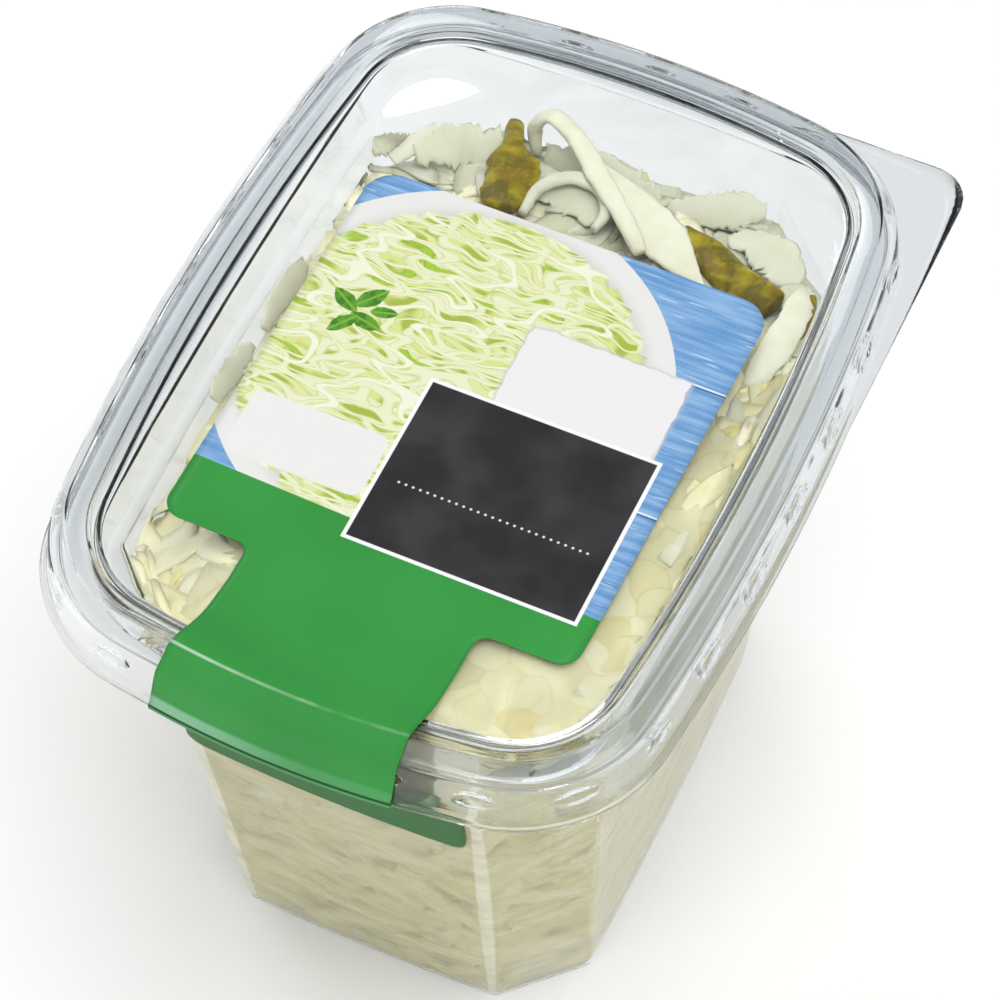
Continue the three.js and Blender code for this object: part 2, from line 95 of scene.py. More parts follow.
# How far the loose shreds may lie from the middle, across and along.
HEAP_REACH = (33.4, 48)
WALL_INSIDE = TUB_WALL + 0.1

CAMERA = dict(aim=(-3.55, 12.63, 40.0), distance=570.7, azimuth=24.6, elevation=55.73, lens=155.23)


# ---------------------------------------------------------------- node sheets
class Signal:
    """A shader socket that takes part in arithmetic: each operation adds one Math node."""

    def __init__(self, sheet, socket):
        self.sheet = sheet
        self.socket = socket

    def math(self, operation, *values):
        return self.sheet.node("ShaderNodeMath", {"operation": operation}, dict(enumerate(values)))

    def __add__(self, other):
        return self.math("ADD", self, other)

    __radd__ = __add__

    def __sub__(self, other):
        return self.math("SUBTRACT", self, other)

    def __rsub__(self, other):
        return self.math("SUBTRACT", other, self)

    def __mul__(self, other):
        return self.math("MULTIPLY", self, other)

    __rmul__ = __mul__

    def __abs__(self):
        return self.math("ABSOLUTE", self)

    def root(self):
        return self.math("SQRT", self)

    def most(self, other):
        return self.math("MAXIMUM", self, other)

    def ramp(self, low, high, interpolation="SMOOTHSTEP"):
        """0 where the value is at low, 1 where it is at high."""
        settings = {"interpolation_type": interpolation}
        sockets = {"Value": self, "From Min": low, "From Max": high}
        return self.sheet.node("ShaderNodeMapRange", settings, sockets)


class Sheet:
    """The nodes of one material, with its Principled shader."""

    def __init__(self, name, **constants):
        self.material = bpy.data.materials.new(name)
        self.material.use_nodes = True
        self.tree = self.material.node_tree
        self.shader = self.tree.nodes["Principled BSDF"]
        for socket, value in constants.items():
            self.shader.inputs[socket.replace("_", " ")].default_value = value

    def node(self, kind, settings=None, sockets=None, out=0):
        made = self.tree.nodes.new(kind)
        for name, value in (settings or {}).items():
            if name == "stops":
                for stop, (place, colour) in zip(made.color_ramp.elements, value):
                    stop.position = place
                    stop.color = colour
            else:
                setattr(made, name, value)
        for name, value in (sockets or {}).items():
            if isinstance(value, Signal):
                self.tree.links.new(value.socket, made.inputs[name])
            else:
                made.inputs[name].default_value = value
        if isinstance(out, tuple):
            return [Signal(self, made.outputs[key]) for key in out]
        return Signal(self, made.outputs[out])

    def object_place(self, stretch=(1, 1, 1), turn=(0, 0, 0)):
        """Object coordinates in millimetres, turned and stretched."""
        coordinates = self.node("ShaderNodeTexCoord", out="Object")
        scale = tuple(part / MM for part in stretch)
        return self.node("ShaderNodeMapping", {}, {"Vector": coordinates, "Rotation": turn, "Scale": scale})

    def split(self, vector):
        return self.node("ShaderNodeSeparateXYZ", {}, {"Vector": vector}, out=(0, 1, 2))

    def noise(self, vector, scale, detail=2.0, roughness=0.5, distortion=0.0):
        sockets = {"Vector": vector, "Scale": scale, "Detail": detail, "Roughness": roughness}
        sockets["Distortion"] = distortion
        return self.node("ShaderNodeTexNoise", {}, sockets)

    def blend(self, factor, under, over):
        """Colour under where the factor is 0, over where it is 1."""
        settings = {"data_type": "RGBA", "clamp_factor": True}
        return self.node("ShaderNodeMix", settings, {0: factor, 6: under, 7: over}, out=2)

    def shifted(self, vector, scale, reach):
        """The place moved about by a noise, by up to about half a reach."""
        drift = self.node("ShaderNodeTexNoise", {}, {"Vector": vector, "Scale": scale, "Detail": 0.0}, out=1)
        drift = self.node("ShaderNodeVectorMath", {"operation": "SCALE"}, {0: drift, "Scale": reach})
        return self.node("ShaderNodeVectorMath", {"operation": "ADD"}, {0: vector, 1: drift})

    def relief(self, height, strength, distance):
        sockets = {"Height": height, "Strength": strength, "Distance": distance * MM}
        return self.node("ShaderNodeBump", {}, sockets)

    def feed(self, socket, signal):
        self.tree.links.new(signal.socket, self.shader.inputs[socket])


def srgb(red, green, blue):
    """A colour of 0 to 255 as the linear colour that shaders take."""
    parts = (value / 255 for value in (red, green, blue))
    linear = (p / 12.92 if p <= 0.04045 else ((p + 0.055) / 1.055) ** 2.4 for p in parts)
    return (*linear, 1.0)


# ---------------------------------------------------------------- outlines
def bowed_rectangle(core_x, core_y, bow_x, bow_y, radius):
    """Bowed rounded rectangle, anticlockwise from the foot of its right side: rows of x, y."""
    sides = []
    for k in range(4):
        long = k % 2 == 0
        core, bow = (core_x, bow_x) if long else (core_y, bow_y)
        reach = core_y - bow_y if long else core_x - bow_x
        t = np.linspace(-1, 1, SIDE_STEPS + 1)
        turn = k * math.pi / 2
        out, across = core - bow * t ** 2, t * reach
        points = np.stack([out * math.cos(turn) - across * math.sin(turn),
                           out * math.sin(turn) + across * math.cos(turn)], axis=1)
        sides.append((points, turn + np.arctan2(2 * bow * t, reach)))
    rows = []
    for k, (points, angles) in enumerate(sides):
        rows.append(points + radius * np.stack([np.cos(angles), np.sin(angles)], axis=1))
        start, end = angles[-1], sides[(k + 1) % 4][1][0] + (2 * math.pi if k == 3 else 0)
        turn = np.linspace(start, end, CORNER_STEPS + 1)[1:-1]
        rows.append(points[-1] + radius * np.stack([np.cos(turn), np.sin(turn)], axis=1))
    return np.concatenate(rows)


def ring_line(offset):
    """The lid's ring line moved out by an offset."""
    core_x, core_y, bow_x, bow_y, radius = RING.values()
    return bowed_rectangle(core_x, core_y, bow_x, bow_y, radius + offset)


def cut_rectangle(x, y, chamfer, bow, edge_radius):
    """Rectangle with cut corners and softened edges, with the same count of points."""
    rows = []
    quarter = CORNER_STEPS // 4
    for k in range(4):
        near, far = (x, y) if k % 2 == 0 else (y, x)
        turn = k * math.pi / 2
        side = np.linspace(-1, 1, SIDE_STEPS + 1)
        blunt = edge_radius * math.tan(math.pi / 8)
        flat = [(near - bow * t * t, t * (far - chamfer - blunt)) for t in side]
        first = np.array([near - bow, far - chamfer])
        last = np.array([near - chamfer, far - bow])
        slope = (last - first) / np.linalg.norm(last - first)
        corner = []
        centre = first + (-edge_radius, -blunt)
        for i in range(1, quarter + 1):
            a = i / quarter * math.pi / 4
            corner.append(centre + edge_radius * np.array([math.cos(a), math.sin(a)]))
        start, end = first + slope * blunt, last - slope * blunt
        middle = CORNER_STEPS - 2 * quarter
        for i in range(1, middle):
            corner.append(start + (end - start) * i / middle)
        centre = last + (-blunt, -edge_radius)
        for i in range(quarter):
            a = math.pi / 4 + i / quarter * math.pi / 4
            corner.append(centre + edge_radius * np.array([math.cos(a), math.sin(a)]))
        points = np.array(flat + corner)
        cosine, sine = math.cos(turn), math.sin(turn)
        rows.append(points @ np.array([[cosine, sine], [-sine, cosine]]))
    return np.concatenate(rows)


def wall_at(z):
    share = min(z, WALL_HEIGHT) / WALL_HEIGHT
    return {key: BASE[key] + (WALL_TOP[key] - BASE[key]) * share for key in BASE}


def wall_line(z, inset=0.0, edge_radius=WALL_EDGE_RADIUS):
    size = wall_at(z)
    chamfer = size["chamfer"] - inset * (2 - math.sqrt(2))
    return cut_rectangle(size["x"] - inset, size["y"] - inset, chamfer, size["bow"], edge_radius)


def mouth_line(size):
    radius, bow = size["radius"], WALL_TOP["bow"]
    return bowed_rectangle(size["x"] - radius, size["y"] - radius, bow, bow, radius)


def level(outline, z):
    return np.column_stack([outline, np.full(len(outline), z)])


# ---------------------------------------------------------------- meshes
def loft(rings, caps=(False, False)):
    """A bmesh skinned over closed rings of points, with the first or last ring filled where caps says so."""
    skin = bmesh.new()
    loops = []
    for ring in rings:
        points = [skin.verts.new(point * MM) for point in ring]
        loops.append([skin.edges.new(pair) for pair in zip(points, points[1:] + points[:1])])
    for near, far in zip(loops, loops[1:]):
        bmesh.ops.bridge_loops(skin, edges=near + far)
    for wanted, loop in zip(caps, (loops[0], loops[-1])):
        if wanted:
            bmesh.ops.contextual_create(skin, geom=loop)
    bmesh.ops.recalc_face_normals(skin, faces=skin.faces)
    return skin


def piece(name, skin, finish, slot, *replaced):
    """Turns a bmesh or mesh data into a finished, smooth piece that rides on the body."""
    mesh = skin
    if isinstance(skin, bmesh.types.BMesh):
        mesh = bpy.data.meshes.new(name)
        skin.to_mesh(mesh)
        skin.free()
    mesh.name = name
    mesh.materials.append(finish)
    mesh.shade_smooth()
    made = bpy.data.objects.new(name, mesh)
    bpy.context.scene.collection.objects.link(made)
    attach(made, "root")
    if replaced:
        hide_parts(*replaced)
    return made


def add_wall(made, thickness, side=-1):
    solidify = made.modifiers.new("wall", "SOLIDIFY")
    solidify.thickness = thickness * MM
    solidify.offset = side
    solidify.use_even_offset = True
    return made


# ---------------------------------------------------------------- finishes
def clear_plastic(name, tint, ring_tint):
    """Clear plastic, a little greyer in the formed ring except at its front, which is kept clear as painted light.
    """
    sheet = Sheet(name, Roughness=0.02, IOR=1.45, Transmission_Weight=1.0)
    x, y, z = sheet.split(sheet.object_place())
    corner = RING["radius"] + PANEL_EDGE
    across = (abs(x) - RING["core_x"]).most(0)
    along = (abs(y) - RING["core_y"]).most(0)
    from_panel = (across * across + along * along).root() - corner
    # The ring's grey tint stops short of the front, so the front of the ring is painted lighter.
    sheet.feed("Base Color", sheet.blend(from_panel.ramp(0.6, 1.6) * y.ramp(-52, -36), tint, ring_tint))
    ripple = sheet.noise(sheet.object_place(), 0.16, 0.0)
    sheet.feed("Normal", sheet.relief(ripple, 0.25, 0.5))
    return sheet.material


def cabbage_finish(name, light, deep, softness, solid=1.0, grain=None):
    """Cabbage flesh. With a grain, its fibres run along a heading. Soft flesh shows them in relief."""
    sheet = Sheet(
        name, Roughness=0.3, IOR=1.38, Alpha=solid, Subsurface_Weight=softness, Subsurface_Scale=1.2 * MM,
        Subsurface_Radius=(1.0, 0.85, 0.45),
    )
    tone = sheet.node("ShaderNodeAttribute", {"attribute_name": "tone"}, out="Fac")
    cloud = sheet.noise(sheet.object_place(), 0.35, 1.5)
    fibre = sheet.noise(sheet.object_place(), 1.8, 1.0)
    if grain is not None:
        fibre = sheet.noise(sheet.object_place((0.18, 1.5, 1.0), (0, 0, -grain)), 1.5, 2.0, distortion=0.3)
    mixed = (tone * 0.7 + cloud * 0.7 + fibre * 0.2 - 0.3).ramp(0.0, 1.0, "LINEAR")
    sheet.feed("Base Color", sheet.blend(mixed, deep, light))
    if softness:
        sheet.feed("Normal", sheet.relief(fibre, 0.35, 0.25))
    return sheet.material


def core_finish():
    sheet = Sheet("cabbage_depth", Roughness=0.4)
    patches = sheet.noise(sheet.object_place(), 0.22, 1.5).ramp(0.35, 0.65)
    sheet.feed("Base Color", sheet.blend(patches, srgb(226, 214, 140), srgb(240, 236, 196)))
    return sheet.material


def marinade_finish():
    """Milky liquid: it lets the shreds show through, more in some places than in others."""
    sheet = Sheet("marinade", Roughness=0.15)
    x, y, z = sheet.split(sheet.object_place())
    patches = sheet.noise(sheet.object_place((1, 1, 1.6)), 0.12, 1.5).ramp(0.3, 0.7)
    streaks = sheet.noise(sheet.object_place((0.35, 0.35, 1.5), (0, 0.45, 0)), 0.45, 1.0).ramp(0.42, 0.6)
    on_top = z.ramp(74.0, 80.0)
    on_wall_colour = sheet.blend(patches, srgb(208, 199, 130), srgb(220, 213, 150))
    place = sheet.shifted(sheet.object_place(), 0.3, 4.0)
    sockets = {"Vector": place, "Scale": 0.2}
    flat = {"voronoi_dimensions": "2D"}
    leaf, second, third = sheet.split(sheet.node("ShaderNodeTexVoronoi", flat, sockets, out=1))
    seam = sheet.node("ShaderNodeTexVoronoi", {**flat, "feature": "DISTANCE_TO_EDGE"}, sockets)
    leaves = sheet.blend(leaf, srgb(192, 188, 146), srgb(208, 205, 172))
    leaves = sheet.blend(second.ramp(0.7, 0.86) * 0.65, leaves, srgb(190, 173, 104))
    leaves = sheet.blend(seam.ramp(0.09, 0.0) * 0.45 * third, leaves, srgb(166, 150, 84))
    leaves = sheet.blend(patches * 0.3, leaves, srgb(200, 195, 156))
    colour = sheet.blend(on_top, on_wall_colour, leaves)
    # A pale, more opaque stripe beside the tub's two front corner edges: a painted highlight on the rounded edges.
    corner_edge = 18.0 + 0.0312 * z
    middle = (z - 36.0) * (1 / 48.0)
    slack = abs(abs(x) - corner_edge + 0.5) + 0.7 * middle * middle
    painted_edge_highlight = slack.ramp(0.95, 0.6) * (0 - y).ramp(20, 30) * (1 - on_top)
    # Paler and more opaque low on the front chamfers: painted light.
    painted_light_low_chamfers = (0 - y).ramp(26, 30) * abs(x).ramp(18.5, 20.5) * z.ramp(26, 8)
    colour = sheet.blend(painted_light_low_chamfers * 0.6, colour, srgb(232, 228, 204))
    sheet.feed("Base Color", sheet.blend(painted_edge_highlight * 0.75, colour, srgb(240, 238, 220)))
    cover = 0.34 + 0.2 * patches + 0.12 * streaks + 0.35 * painted_edge_highlight + 0.2 * painted_light_low_chamfers
    sheet.feed("Alpha", cover + on_top * (0.42 - 0.2 * patches - 0.12 * streaks))
    return sheet.material


def pepper_finish():
    sheet = Sheet("pepper_flesh", Roughness=0.3, Specular_IOR_Level=0.2)
    cloud = sheet.noise(sheet.object_place(), 0.4, 3.0).ramp(0.35, 0.7)
    specks = sheet.noise(sheet.object_place(), 1.6, 2.0).ramp(0.64, 0.72)
    dark = sheet.noise(sheet.object_place(), 0.28, 2.0, distortion=0.6).ramp(0.5, 0.66)
    flesh = sheet.blend(cloud, srgb(112, 92, 0), srgb(152, 142, 6))
    flesh = sheet.blend(dark * 0.75, flesh, srgb(76, 70, 0))
    sheet.feed("Base Color", sheet.blend(specks * 0.2, flesh, srgb(190, 186, 80)))
    sheet.feed("Normal", sheet.relief(cloud + specks * 0.3, 0.5, 0.4))
    return sheet.material


# ---------------------------------------------------------------- label print
PRINT_SOFTNESS = 0.06
GREEN_LINE = dict(height=-26.2, slope=-0.03)
PLANK_LINES = (8.9, -11.1)
PLATE = dict(x=-4.35, y=-2.4, radius=28.4, rim=3.6)
CHALK_PANEL = dict(left=-4.9, right=24.8, low=-28.4, high=-3.9, border=0.5)
CHALK_DOTS = dict(height=-19.0, left=-2.9, right=22.8, pitch=0.95, radius=0.17)
PAPER_PATCH = dict(left=2.8, right=23.8, low=-4.2, high=8.9)
BADGE = dict(left=-22.4, right=-7.4, low=-21.6, high=-15.2)
# The herb sprig's leaves: x, y, heading, half length, half width.
SPRIG = (
    (-17.2, 4.4, 0.9, 2.6, 1.2), (-19.9, 2.9, 2.6, 2.4, 1.1), (-16.4, 0.9, -0.2, 2.3, 1.1),
    (-18.9, -0.4, -2.2, 2.2, 1.0), (-14.9, 3.0, 0.3, 1.8, 0.9),
)
# The strap's folds: where it turns over the ring, and the band above the lip where it tucks under, which gets a
# painted highlight.
FOLD = dict(ring=-52.75, low=80.0, high=81.5)
# The inks of the printed shreds: light and edge.
SHRED_INKS = dict(
    cream=(srgb(212, 218, 158), srgb(188, 200, 116)),
    green=(srgb(158, 192, 64), srgb(138, 168, 50)),
    ivory=(srgb(222, 225, 190), srgb(196, 206, 136)),
    white=(srgb(229, 231, 208), srgb(204, 212, 152)),
)
# The printed shreds from the lowest layer up: seed, heading, scale, width, ink, share of the plate.
SHRED_LAYERS = (
    (1.0, 0.3, 0.20, 0.060, "cream", 1),
    (9.0, 1.4, 0.19, 0.060, "cream", 1),
    (5.0, 2.3, 0.15, 0.050, "green", 0.6),
    (3.0, -0.5, 0.21, 0.055, "ivory", 1),
    (13.0, 0.9, 0.20, 0.050, "ivory", 1),
    (17.0, 1.9, 0.19, 0.045, "ivory", 1),
    (37.0, 2.9, 0.18, 0.040, "ivory", 1),
    (23.0, 0.1, 0.17, 0.040, "white", 1),
)


def inside(distance):
    """A mask that is 1 where a signed distance is negative."""
    return 1 - distance.ramp(-PRINT_SOFTNESS, PRINT_SOFTNESS)


def box_distance(x, y, box, grow=0.0):
    middle_x, middle_y = (box["left"] + box["right"]) / 2, (box["low"] + box["high"]) / 2
    half_x, half_y = (box["right"] - box["left"]) / 2 + grow, (box["high"] - box["low"]) / 2 + grow
    return (abs(x - middle_x) - half_x).most(abs(y - middle_y) - half_y)


def rounded_distance(x, y, box, radius):
    """Distance from a box whose corners are rounded outside it."""
    across = (abs(x - (box["left"] + box["right"]) / 2) - (box["right"] - box["left"]) / 2).most(0)
    along = (abs(y - (box["low"] + box["high"]) / 2) - (box["high"] - box["low"]) / 2).most(0)
    return (across * across + along * along).root() - radius


def disc_distance(x, y, middle_x, middle_y, radius):
    across, along = x - middle_x, y - middle_y
    return (across * across + along * along).root() - radius


def plank_print(sheet, y):
    """Blue painted planks with grain, pale scuffs and lit edges."""
    grain = sheet.noise(sheet.object_place((0.12, 1.3, 1)), 0.9, 2.0)
    colour = sheet.blend(grain.ramp(0.35, 0.7), srgb(98, 146, 196), srgb(140, 176, 214))
    scuffs = sheet.noise(sheet.object_place((0.15, 2.2, 1)), 1.3, 1.0).ramp(0.66, 0.74)
    colour = sheet.blend(scuffs * 0.6, colour, srgb(196, 216, 236))
    for line in PLANK_LINES:
        colour = sheet.blend(inside(abs(y - (line - 0.25)) - 0.12), colour, srgb(60, 90, 140))
        colour = sheet.blend(inside(abs(y - line) - 0.13), colour, srgb(218, 230, 242))
    return colour


def shred_layer(sheet, wander, under, seed, heading, scale, width, ink, share):
    """Long winding shreds over what is under them: where a stretched noise crosses its middle value."""
    light, edge = SHRED_INKS[ink]
    sockets = {"Vector": wander, "Location": (37 * seed, 0, 0), "Rotation": (0, 0, heading)}
    sockets["Scale"] = (0.42, 1.7, 1)
    place = sheet.node("ShaderNodeMapping", {}, sockets)
    sockets = {"Vector": place, "Scale": scale, "Detail": 0.0}
    off = abs(sheet.node("ShaderNodeTexNoise", {"noise_dimensions": "2D"}, sockets) - 0.5)
    colour = sheet.blend(off.ramp(width * 0.45, width), light, edge)
    mask = 1 - off.ramp(width * 0.9, width)
    if share < 1:
        mask = mask * sheet.noise(place, 0.16, 1.0).ramp(0.62 - 0.2 * share, 0.66 - 0.2 * share)
    return sheet.blend(mask, under, colour)


def printed_salad(sheet, place):
    """The dish on the label: pale shreds over yellow-green shade, with a few greener strips."""
    bed = sheet.noise(place, 0.3, 1.0)
    wander = sheet.shifted(place, 0.22, 3.2)
    colour = sheet.blend(bed.ramp(0.4, 0.6), srgb(158, 178, 70), srgb(206, 216, 138))
    for layer in SHRED_LAYERS:
        colour = shred_layer(sheet, wander, colour, *layer)
    return colour


def herb_sprig(sheet, x, y, under):
    veins = sheet.noise(sheet.object_place(), 0.8, 1.0)
    for middle_x, middle_y, heading, long, wide in SPRIG:
        across, up = x - middle_x, y - middle_y
        along = across * math.cos(heading) + up * math.sin(heading)
        off = abs(up * math.cos(heading) - across * math.sin(heading))
        bulge = 1 - along * along * (1 / long ** 2)
        mask = inside(off - bulge * wide + 0.5 * veins - 0.25)
        blade = sheet.blend(veins.ramp(0.4, 0.6), srgb(60, 122, 30), srgb(92, 152, 44))
        under = sheet.blend(mask, under, sheet.blend(off.ramp(0.1, 0.22), srgb(120, 168, 62), blade))
    return under


def plate_print(sheet, place, x, y, wobble, under):
    """A pale plate, shaded inside its rim, with the dish and a herb sprig on it."""
    from_plate = disc_distance(x, y, PLATE["x"], PLATE["y"], PLATE["radius"])
    from_rim = from_plate + PLATE["rim"]
    china = sheet.blend(from_rim.ramp(-0.8, 1.6), srgb(200, 202, 194), srgb(221, 221, 218))
    colour = sheet.blend(inside(from_plate), under, china)
    heap = 1 - (from_rim + 3.0 * wobble).ramp(-0.35, 0.35)
    return herb_sprig(sheet, x, y, sheet.blend(heap, colour, printed_salad(sheet, place)))


def paper_print(sheet, x, y, wobble, under):
    """A bare badge and a torn piece of paper with a soft shadow."""
    colour = sheet.blend(inside(rounded_distance(x, y, BADGE, 1.6)), under, srgb(224, 224, 221))
    torn = box_distance(x, y, PAPER_PATCH) + 1.1 * wobble
    colour = sheet.blend((1 - torn.ramp(-0.1, 0.7)) * 0.7, colour, srgb(186, 188, 186))
    return sheet.blend(inside(torn), colour, srgb(225, 224, 225))


def slate_print(sheet, place, x, y):
    """A chalk board with one dotted line."""
    slate = sheet.blend(sheet.noise(place, 0.12, 2.0).ramp(0.3, 0.75), srgb(36, 34, 36), srgb(58, 56, 58))
    left, right, pitch = (CHALK_DOTS[key] for key in ("left", "right", "pitch"))
    step = ((x - left) * (1 / pitch)).math("FRACT", x * (1 / pitch))
    dot = disc_distance((step - 0.5) * pitch, y, 0, CHALK_DOTS["height"], CHALK_DOTS["radius"])
    in_row = inside(abs(x - (left + right) / 2) - 12.8)
    return sheet.blend(inside(dot) * in_row, slate, srgb(214, 214, 214))


def green_print(sheet, place, x, y, z, wobble):
    """The green field of the strap, paler along its bend over the ring, with a painted highlight above the lip and
    painted shade under it.
    """
    green = sheet.blend(sheet.noise(place, 0.08, 0.0).ramp(0.3, 0.7), srgb(46, 140, 58), srgb(50, 146, 62))
    ring_edge = y - FOLD["ring"] - x * x * (RING["bow_y"] / (RING["core_x"] - RING["bow_x"]) ** 2)
    from_left = (x + 16.0).ramp(22.0, 0.0)
    # A pale line along the strap's bend over the ring, stronger on the left and broken by noise.
    on_ring = (1 - abs(ring_edge).ramp(0.08, 0.3)) * z.ramp(86.0, 88.0)
    green = sheet.blend(on_ring * (0.12 + 0.5 * from_left + 0.5 * wobble), green, srgb(206, 226, 208))
    # A painted highlight on the strap's bulge above the lip, stronger on the left.
    painted_fold_highlight = z.ramp(FOLD["low"] - 0.1, FOLD["low"] + 0.1) * z.ramp(FOLD["high"] + 0.3, FOLD["high"] - 0.5)
    green = sheet.blend(painted_fold_highlight * (0.15 + 0.6 * from_left), green, srgb(150, 196, 166))
    # Painted shade: a dark band along the fold under the lip.
    painted_shade_under_lip = z.ramp(FOLD["low"] + 0.1, FOLD["low"] - 0.05) * z.ramp(79.6, 79.75)
    return sheet.blend(painted_shade_under_lip, green, srgb(20, 58, 34))


def label_finish():
    sheet = Sheet("label_print", Roughness=0.42, Specular_IOR_Level=0.22)
    place = sheet.object_place()
    x, y, z = sheet.split(place)
    wobble = sheet.noise(place, 0.45, 1.0) - 0.5
    colour = plate_print(sheet, place, x, y, wobble, plank_print(sheet, y))
    colour = paper_print(sheet, x, y, wobble, colour)
    board = inside(box_distance(x, y, CHALK_PANEL, CHALK_PANEL["border"]))
    colour = sheet.blend(board, colour, srgb(236, 236, 236))
    colour = sheet.blend(inside(box_distance(x, y, CHALK_PANEL)), colour, slate_print(sheet, place, x, y))
    on_green = inside(y - GREEN_LINE["height"] - GREEN_LINE["slope"] * x) * (1 - board)
    colour = sheet.blend(on_green, colour, green_print(sheet, place, x, y, z, wobble))
    # On the front wall the strap's green is printed darker: painted shade.
    on_front = inside(z - (RIM_PLANE - 1))
    sheet.feed("Base Color", sheet.blend(on_front, colour, srgb(12, 96, 22)))
    return sheet.material


# ---------------------------------------------------------------- tub and lid
def face_way(skin, up):
    """Turns an open shell so that its largest face looks up or down."""
    skin.normal_update()
    cap = max(skin.faces, key=lambda face: len(face.verts))
    if (cap.normal.z > 0) != up:
        bmesh.ops.reverse_faces(skin, faces=skin.faces)
    return skin


def make_tub(finish):
    rim_under = TUB_HIGH.z - RIM_PLATE
    rim_edge = TUB_HIGH.x - RING["core_x"] - RING["radius"] - TUB_WALL
    foot = [level(wall_line(0, inset, 1.0), z) for inset, z in ((2.6, 0.25), (1.9, 0.02), (1.5, 0.0))]
    bevel = [level(wall_line(0, FOOT_BEVEL * (1 - math.sin(a)), 1.3), FOOT_BEVEL * (1 - math.cos(a)))
             for a in np.linspace(0.3, math.pi / 2, 5)]
    walls = [level(wall_line(z), z) for z in np.linspace(FOOT_BEVEL + 2, WALL_HEIGHT - 0.5, 8)]
    low, high = mouth_line(MOUTH_LOW), mouth_line(MOUTH_HIGH)
    top = wall_line(WALL_HEIGHT)
    steps = ((0.1, 77.2), (0.5, 77.9), (0.85, 78.5), (1, 79.1))
    shoulder = [level(top + (low - top) * share, z) for share, z in steps]
    mouth = [level(low + (high - low) * share, MOUTH_LOW["z"] + (rim_under - MOUTH_LOW["z"]) * share)
             for share in (0.3, 0.7, 0.93, 0.98)]
    rim = [level(ring_line(offset), rim_under - drop) for offset, drop in (
        (-1.9, 0.0), (-0.6, 0.02), (rim_edge - 0.3, 0.05), (rim_edge - 0.05, 0.25), (rim_edge, 0.7))]
    tub = face_way(loft(foot + bevel + walls + shoulder + mouth + rim, caps=(True, False)), up=False)
    made = piece("clear_tub", tub, finish, "clear_tub", "tub")
    made.visible_shadow = False
    return add_wall(made, TUB_WALL)


def snap_depth(points):
    """How far each point of the skirt is pressed in: a lens at each snap."""
    depth = np.zeros(len(points))
    side_x = RING["core_x"] + RING["radius"] + SKIRT["middle"]
    side_y = RING["core_y"] + RING["radius"] + SKIRT["middle"]
    corner = (side_x - RING["radius"] * 0.36, side_y - RING["radius"] * 0.36)
    spots = [(sx * side_x, sy * y) for y in SNAPS_ON_SIDE for sx in (1, -1) for sy in (1, -1)]
    spots += [(sx * x, sy * side_y) for x in SNAPS_ON_END for sx in (1, -1) for sy in (1, -1)]
    spots += [(sx * corner[0], sy * corner[1]) for sx in (1, -1) for sy in (1, -1)]
    for x, y in spots:
        along = np.hypot(points[:, 0] - x, points[:, 1] - y) / SNAP_SIZE["half_length"]
        depth = np.maximum(depth, 1 - along ** 2)
    return depth


def tab_line(outline):
    """The lid's foot, carried out to the pull tab at its rear right corner."""
    reach = np.linalg.norm(outline, axis=1)
    heading = outline / reach[:, None]
    corner_x, corner_y = TAB["right"] - TAB["corner"], TAB["rear"] - TAB["corner"]
    limits = []
    for angle in np.linspace(0, math.pi / 2, 19):
        normal = np.array([math.cos(angle), math.sin(angle)])
        limits.append((normal, normal @ (corner_x, corner_y) + TAB["corner"]))
    foot_y = RING_REACH + LIP_OFFSET - 0.5
    slant = np.array([-(TAB["rear"] - foot_y), TAB["blend"] - TAB["left_end"]])
    slant /= np.linalg.norm(slant)
    limits.append((slant, slant @ (TAB["blend"], TAB["rear"])))
    far = np.full(len(outline), np.inf)
    for normal, distance in limits:
        facing = heading @ normal
        far = np.where(facing > 1e-6, np.minimum(far, distance / np.maximum(facing, 1e-6)), far)
    in_quarter = (outline[:, 0] > 0) & (outline[:, 1] > 0)
    return np.where((in_quarter & (far > reach))[:, None], heading * far[:, None], outline)


def make_lid(finish):
    rings = []
    for offset, height in LID_SECTION:
        outline = ring_line(offset)
        lens = snap_depth(outline) - ((height - SNAP_HEIGHT) / SNAP_SIZE["half_height"]) ** 2
        on_skirt = SKIRT["inner"] < offset < SKIRT["outer"]
        press = SNAP_SIZE["depth"] * np.clip(lens * 3, 0, 1) ** 0.6 * on_skirt
        inward = outline - ring_line(offset - 1)
        rings.append(level(outline - inward * press[:, None], RIM_PLANE + height))
    foot, edge = rings[-1][:, :2], tab_line(ring_line(LIP_OFFSET))
    for share in (0.35, 0.7, 1.0):
        rings.append(level(foot + (edge - foot) * share, RIM_PLANE + LID_SECTION[-1][1] - 0.08 * share))
    lid = face_way(loft(rings, caps=(True, False)), up=True)
    made = piece("clear_lid", lid, finish, "clear_lid", "lid")
    made.visible_shadow = False
    return add_wall(made, LID_WALL)


# ---------------------------------------------------------------- label
LABEL_SHEET = 0.16
LABEL = dict(rear=23.4, front=-34.5, half=27.0, centre=1.1, lean=0.0215, rear_corner=4.0, front_corner=2.6,
             fillet=1.7, strap_half=15.0, strap_half_low=15.8, strap_centre_low=-1.9, wall_half=19.0,
             wall_centre=-1.0, wall_top=66.0, wall_bottom=53.0, wall_corner=2.2)
LABEL_COLUMNS = 36
# The strap before the ring: y, height over the panel, share of the way to the lip's lean, bow.
STRAP_TO_RING = (
    (-40.0, 0.0, 0.0, 0.0), (-43.0, 0.0, 0.1, 0.0), (-44.6, 0.08, 0.15, 0.1), (-46.2, 0.4, 0.2, 0.3),
    (-47.7, 0.95, 0.24, 0.6), (-49.0, 1.5, 0.28, 1.0),
)
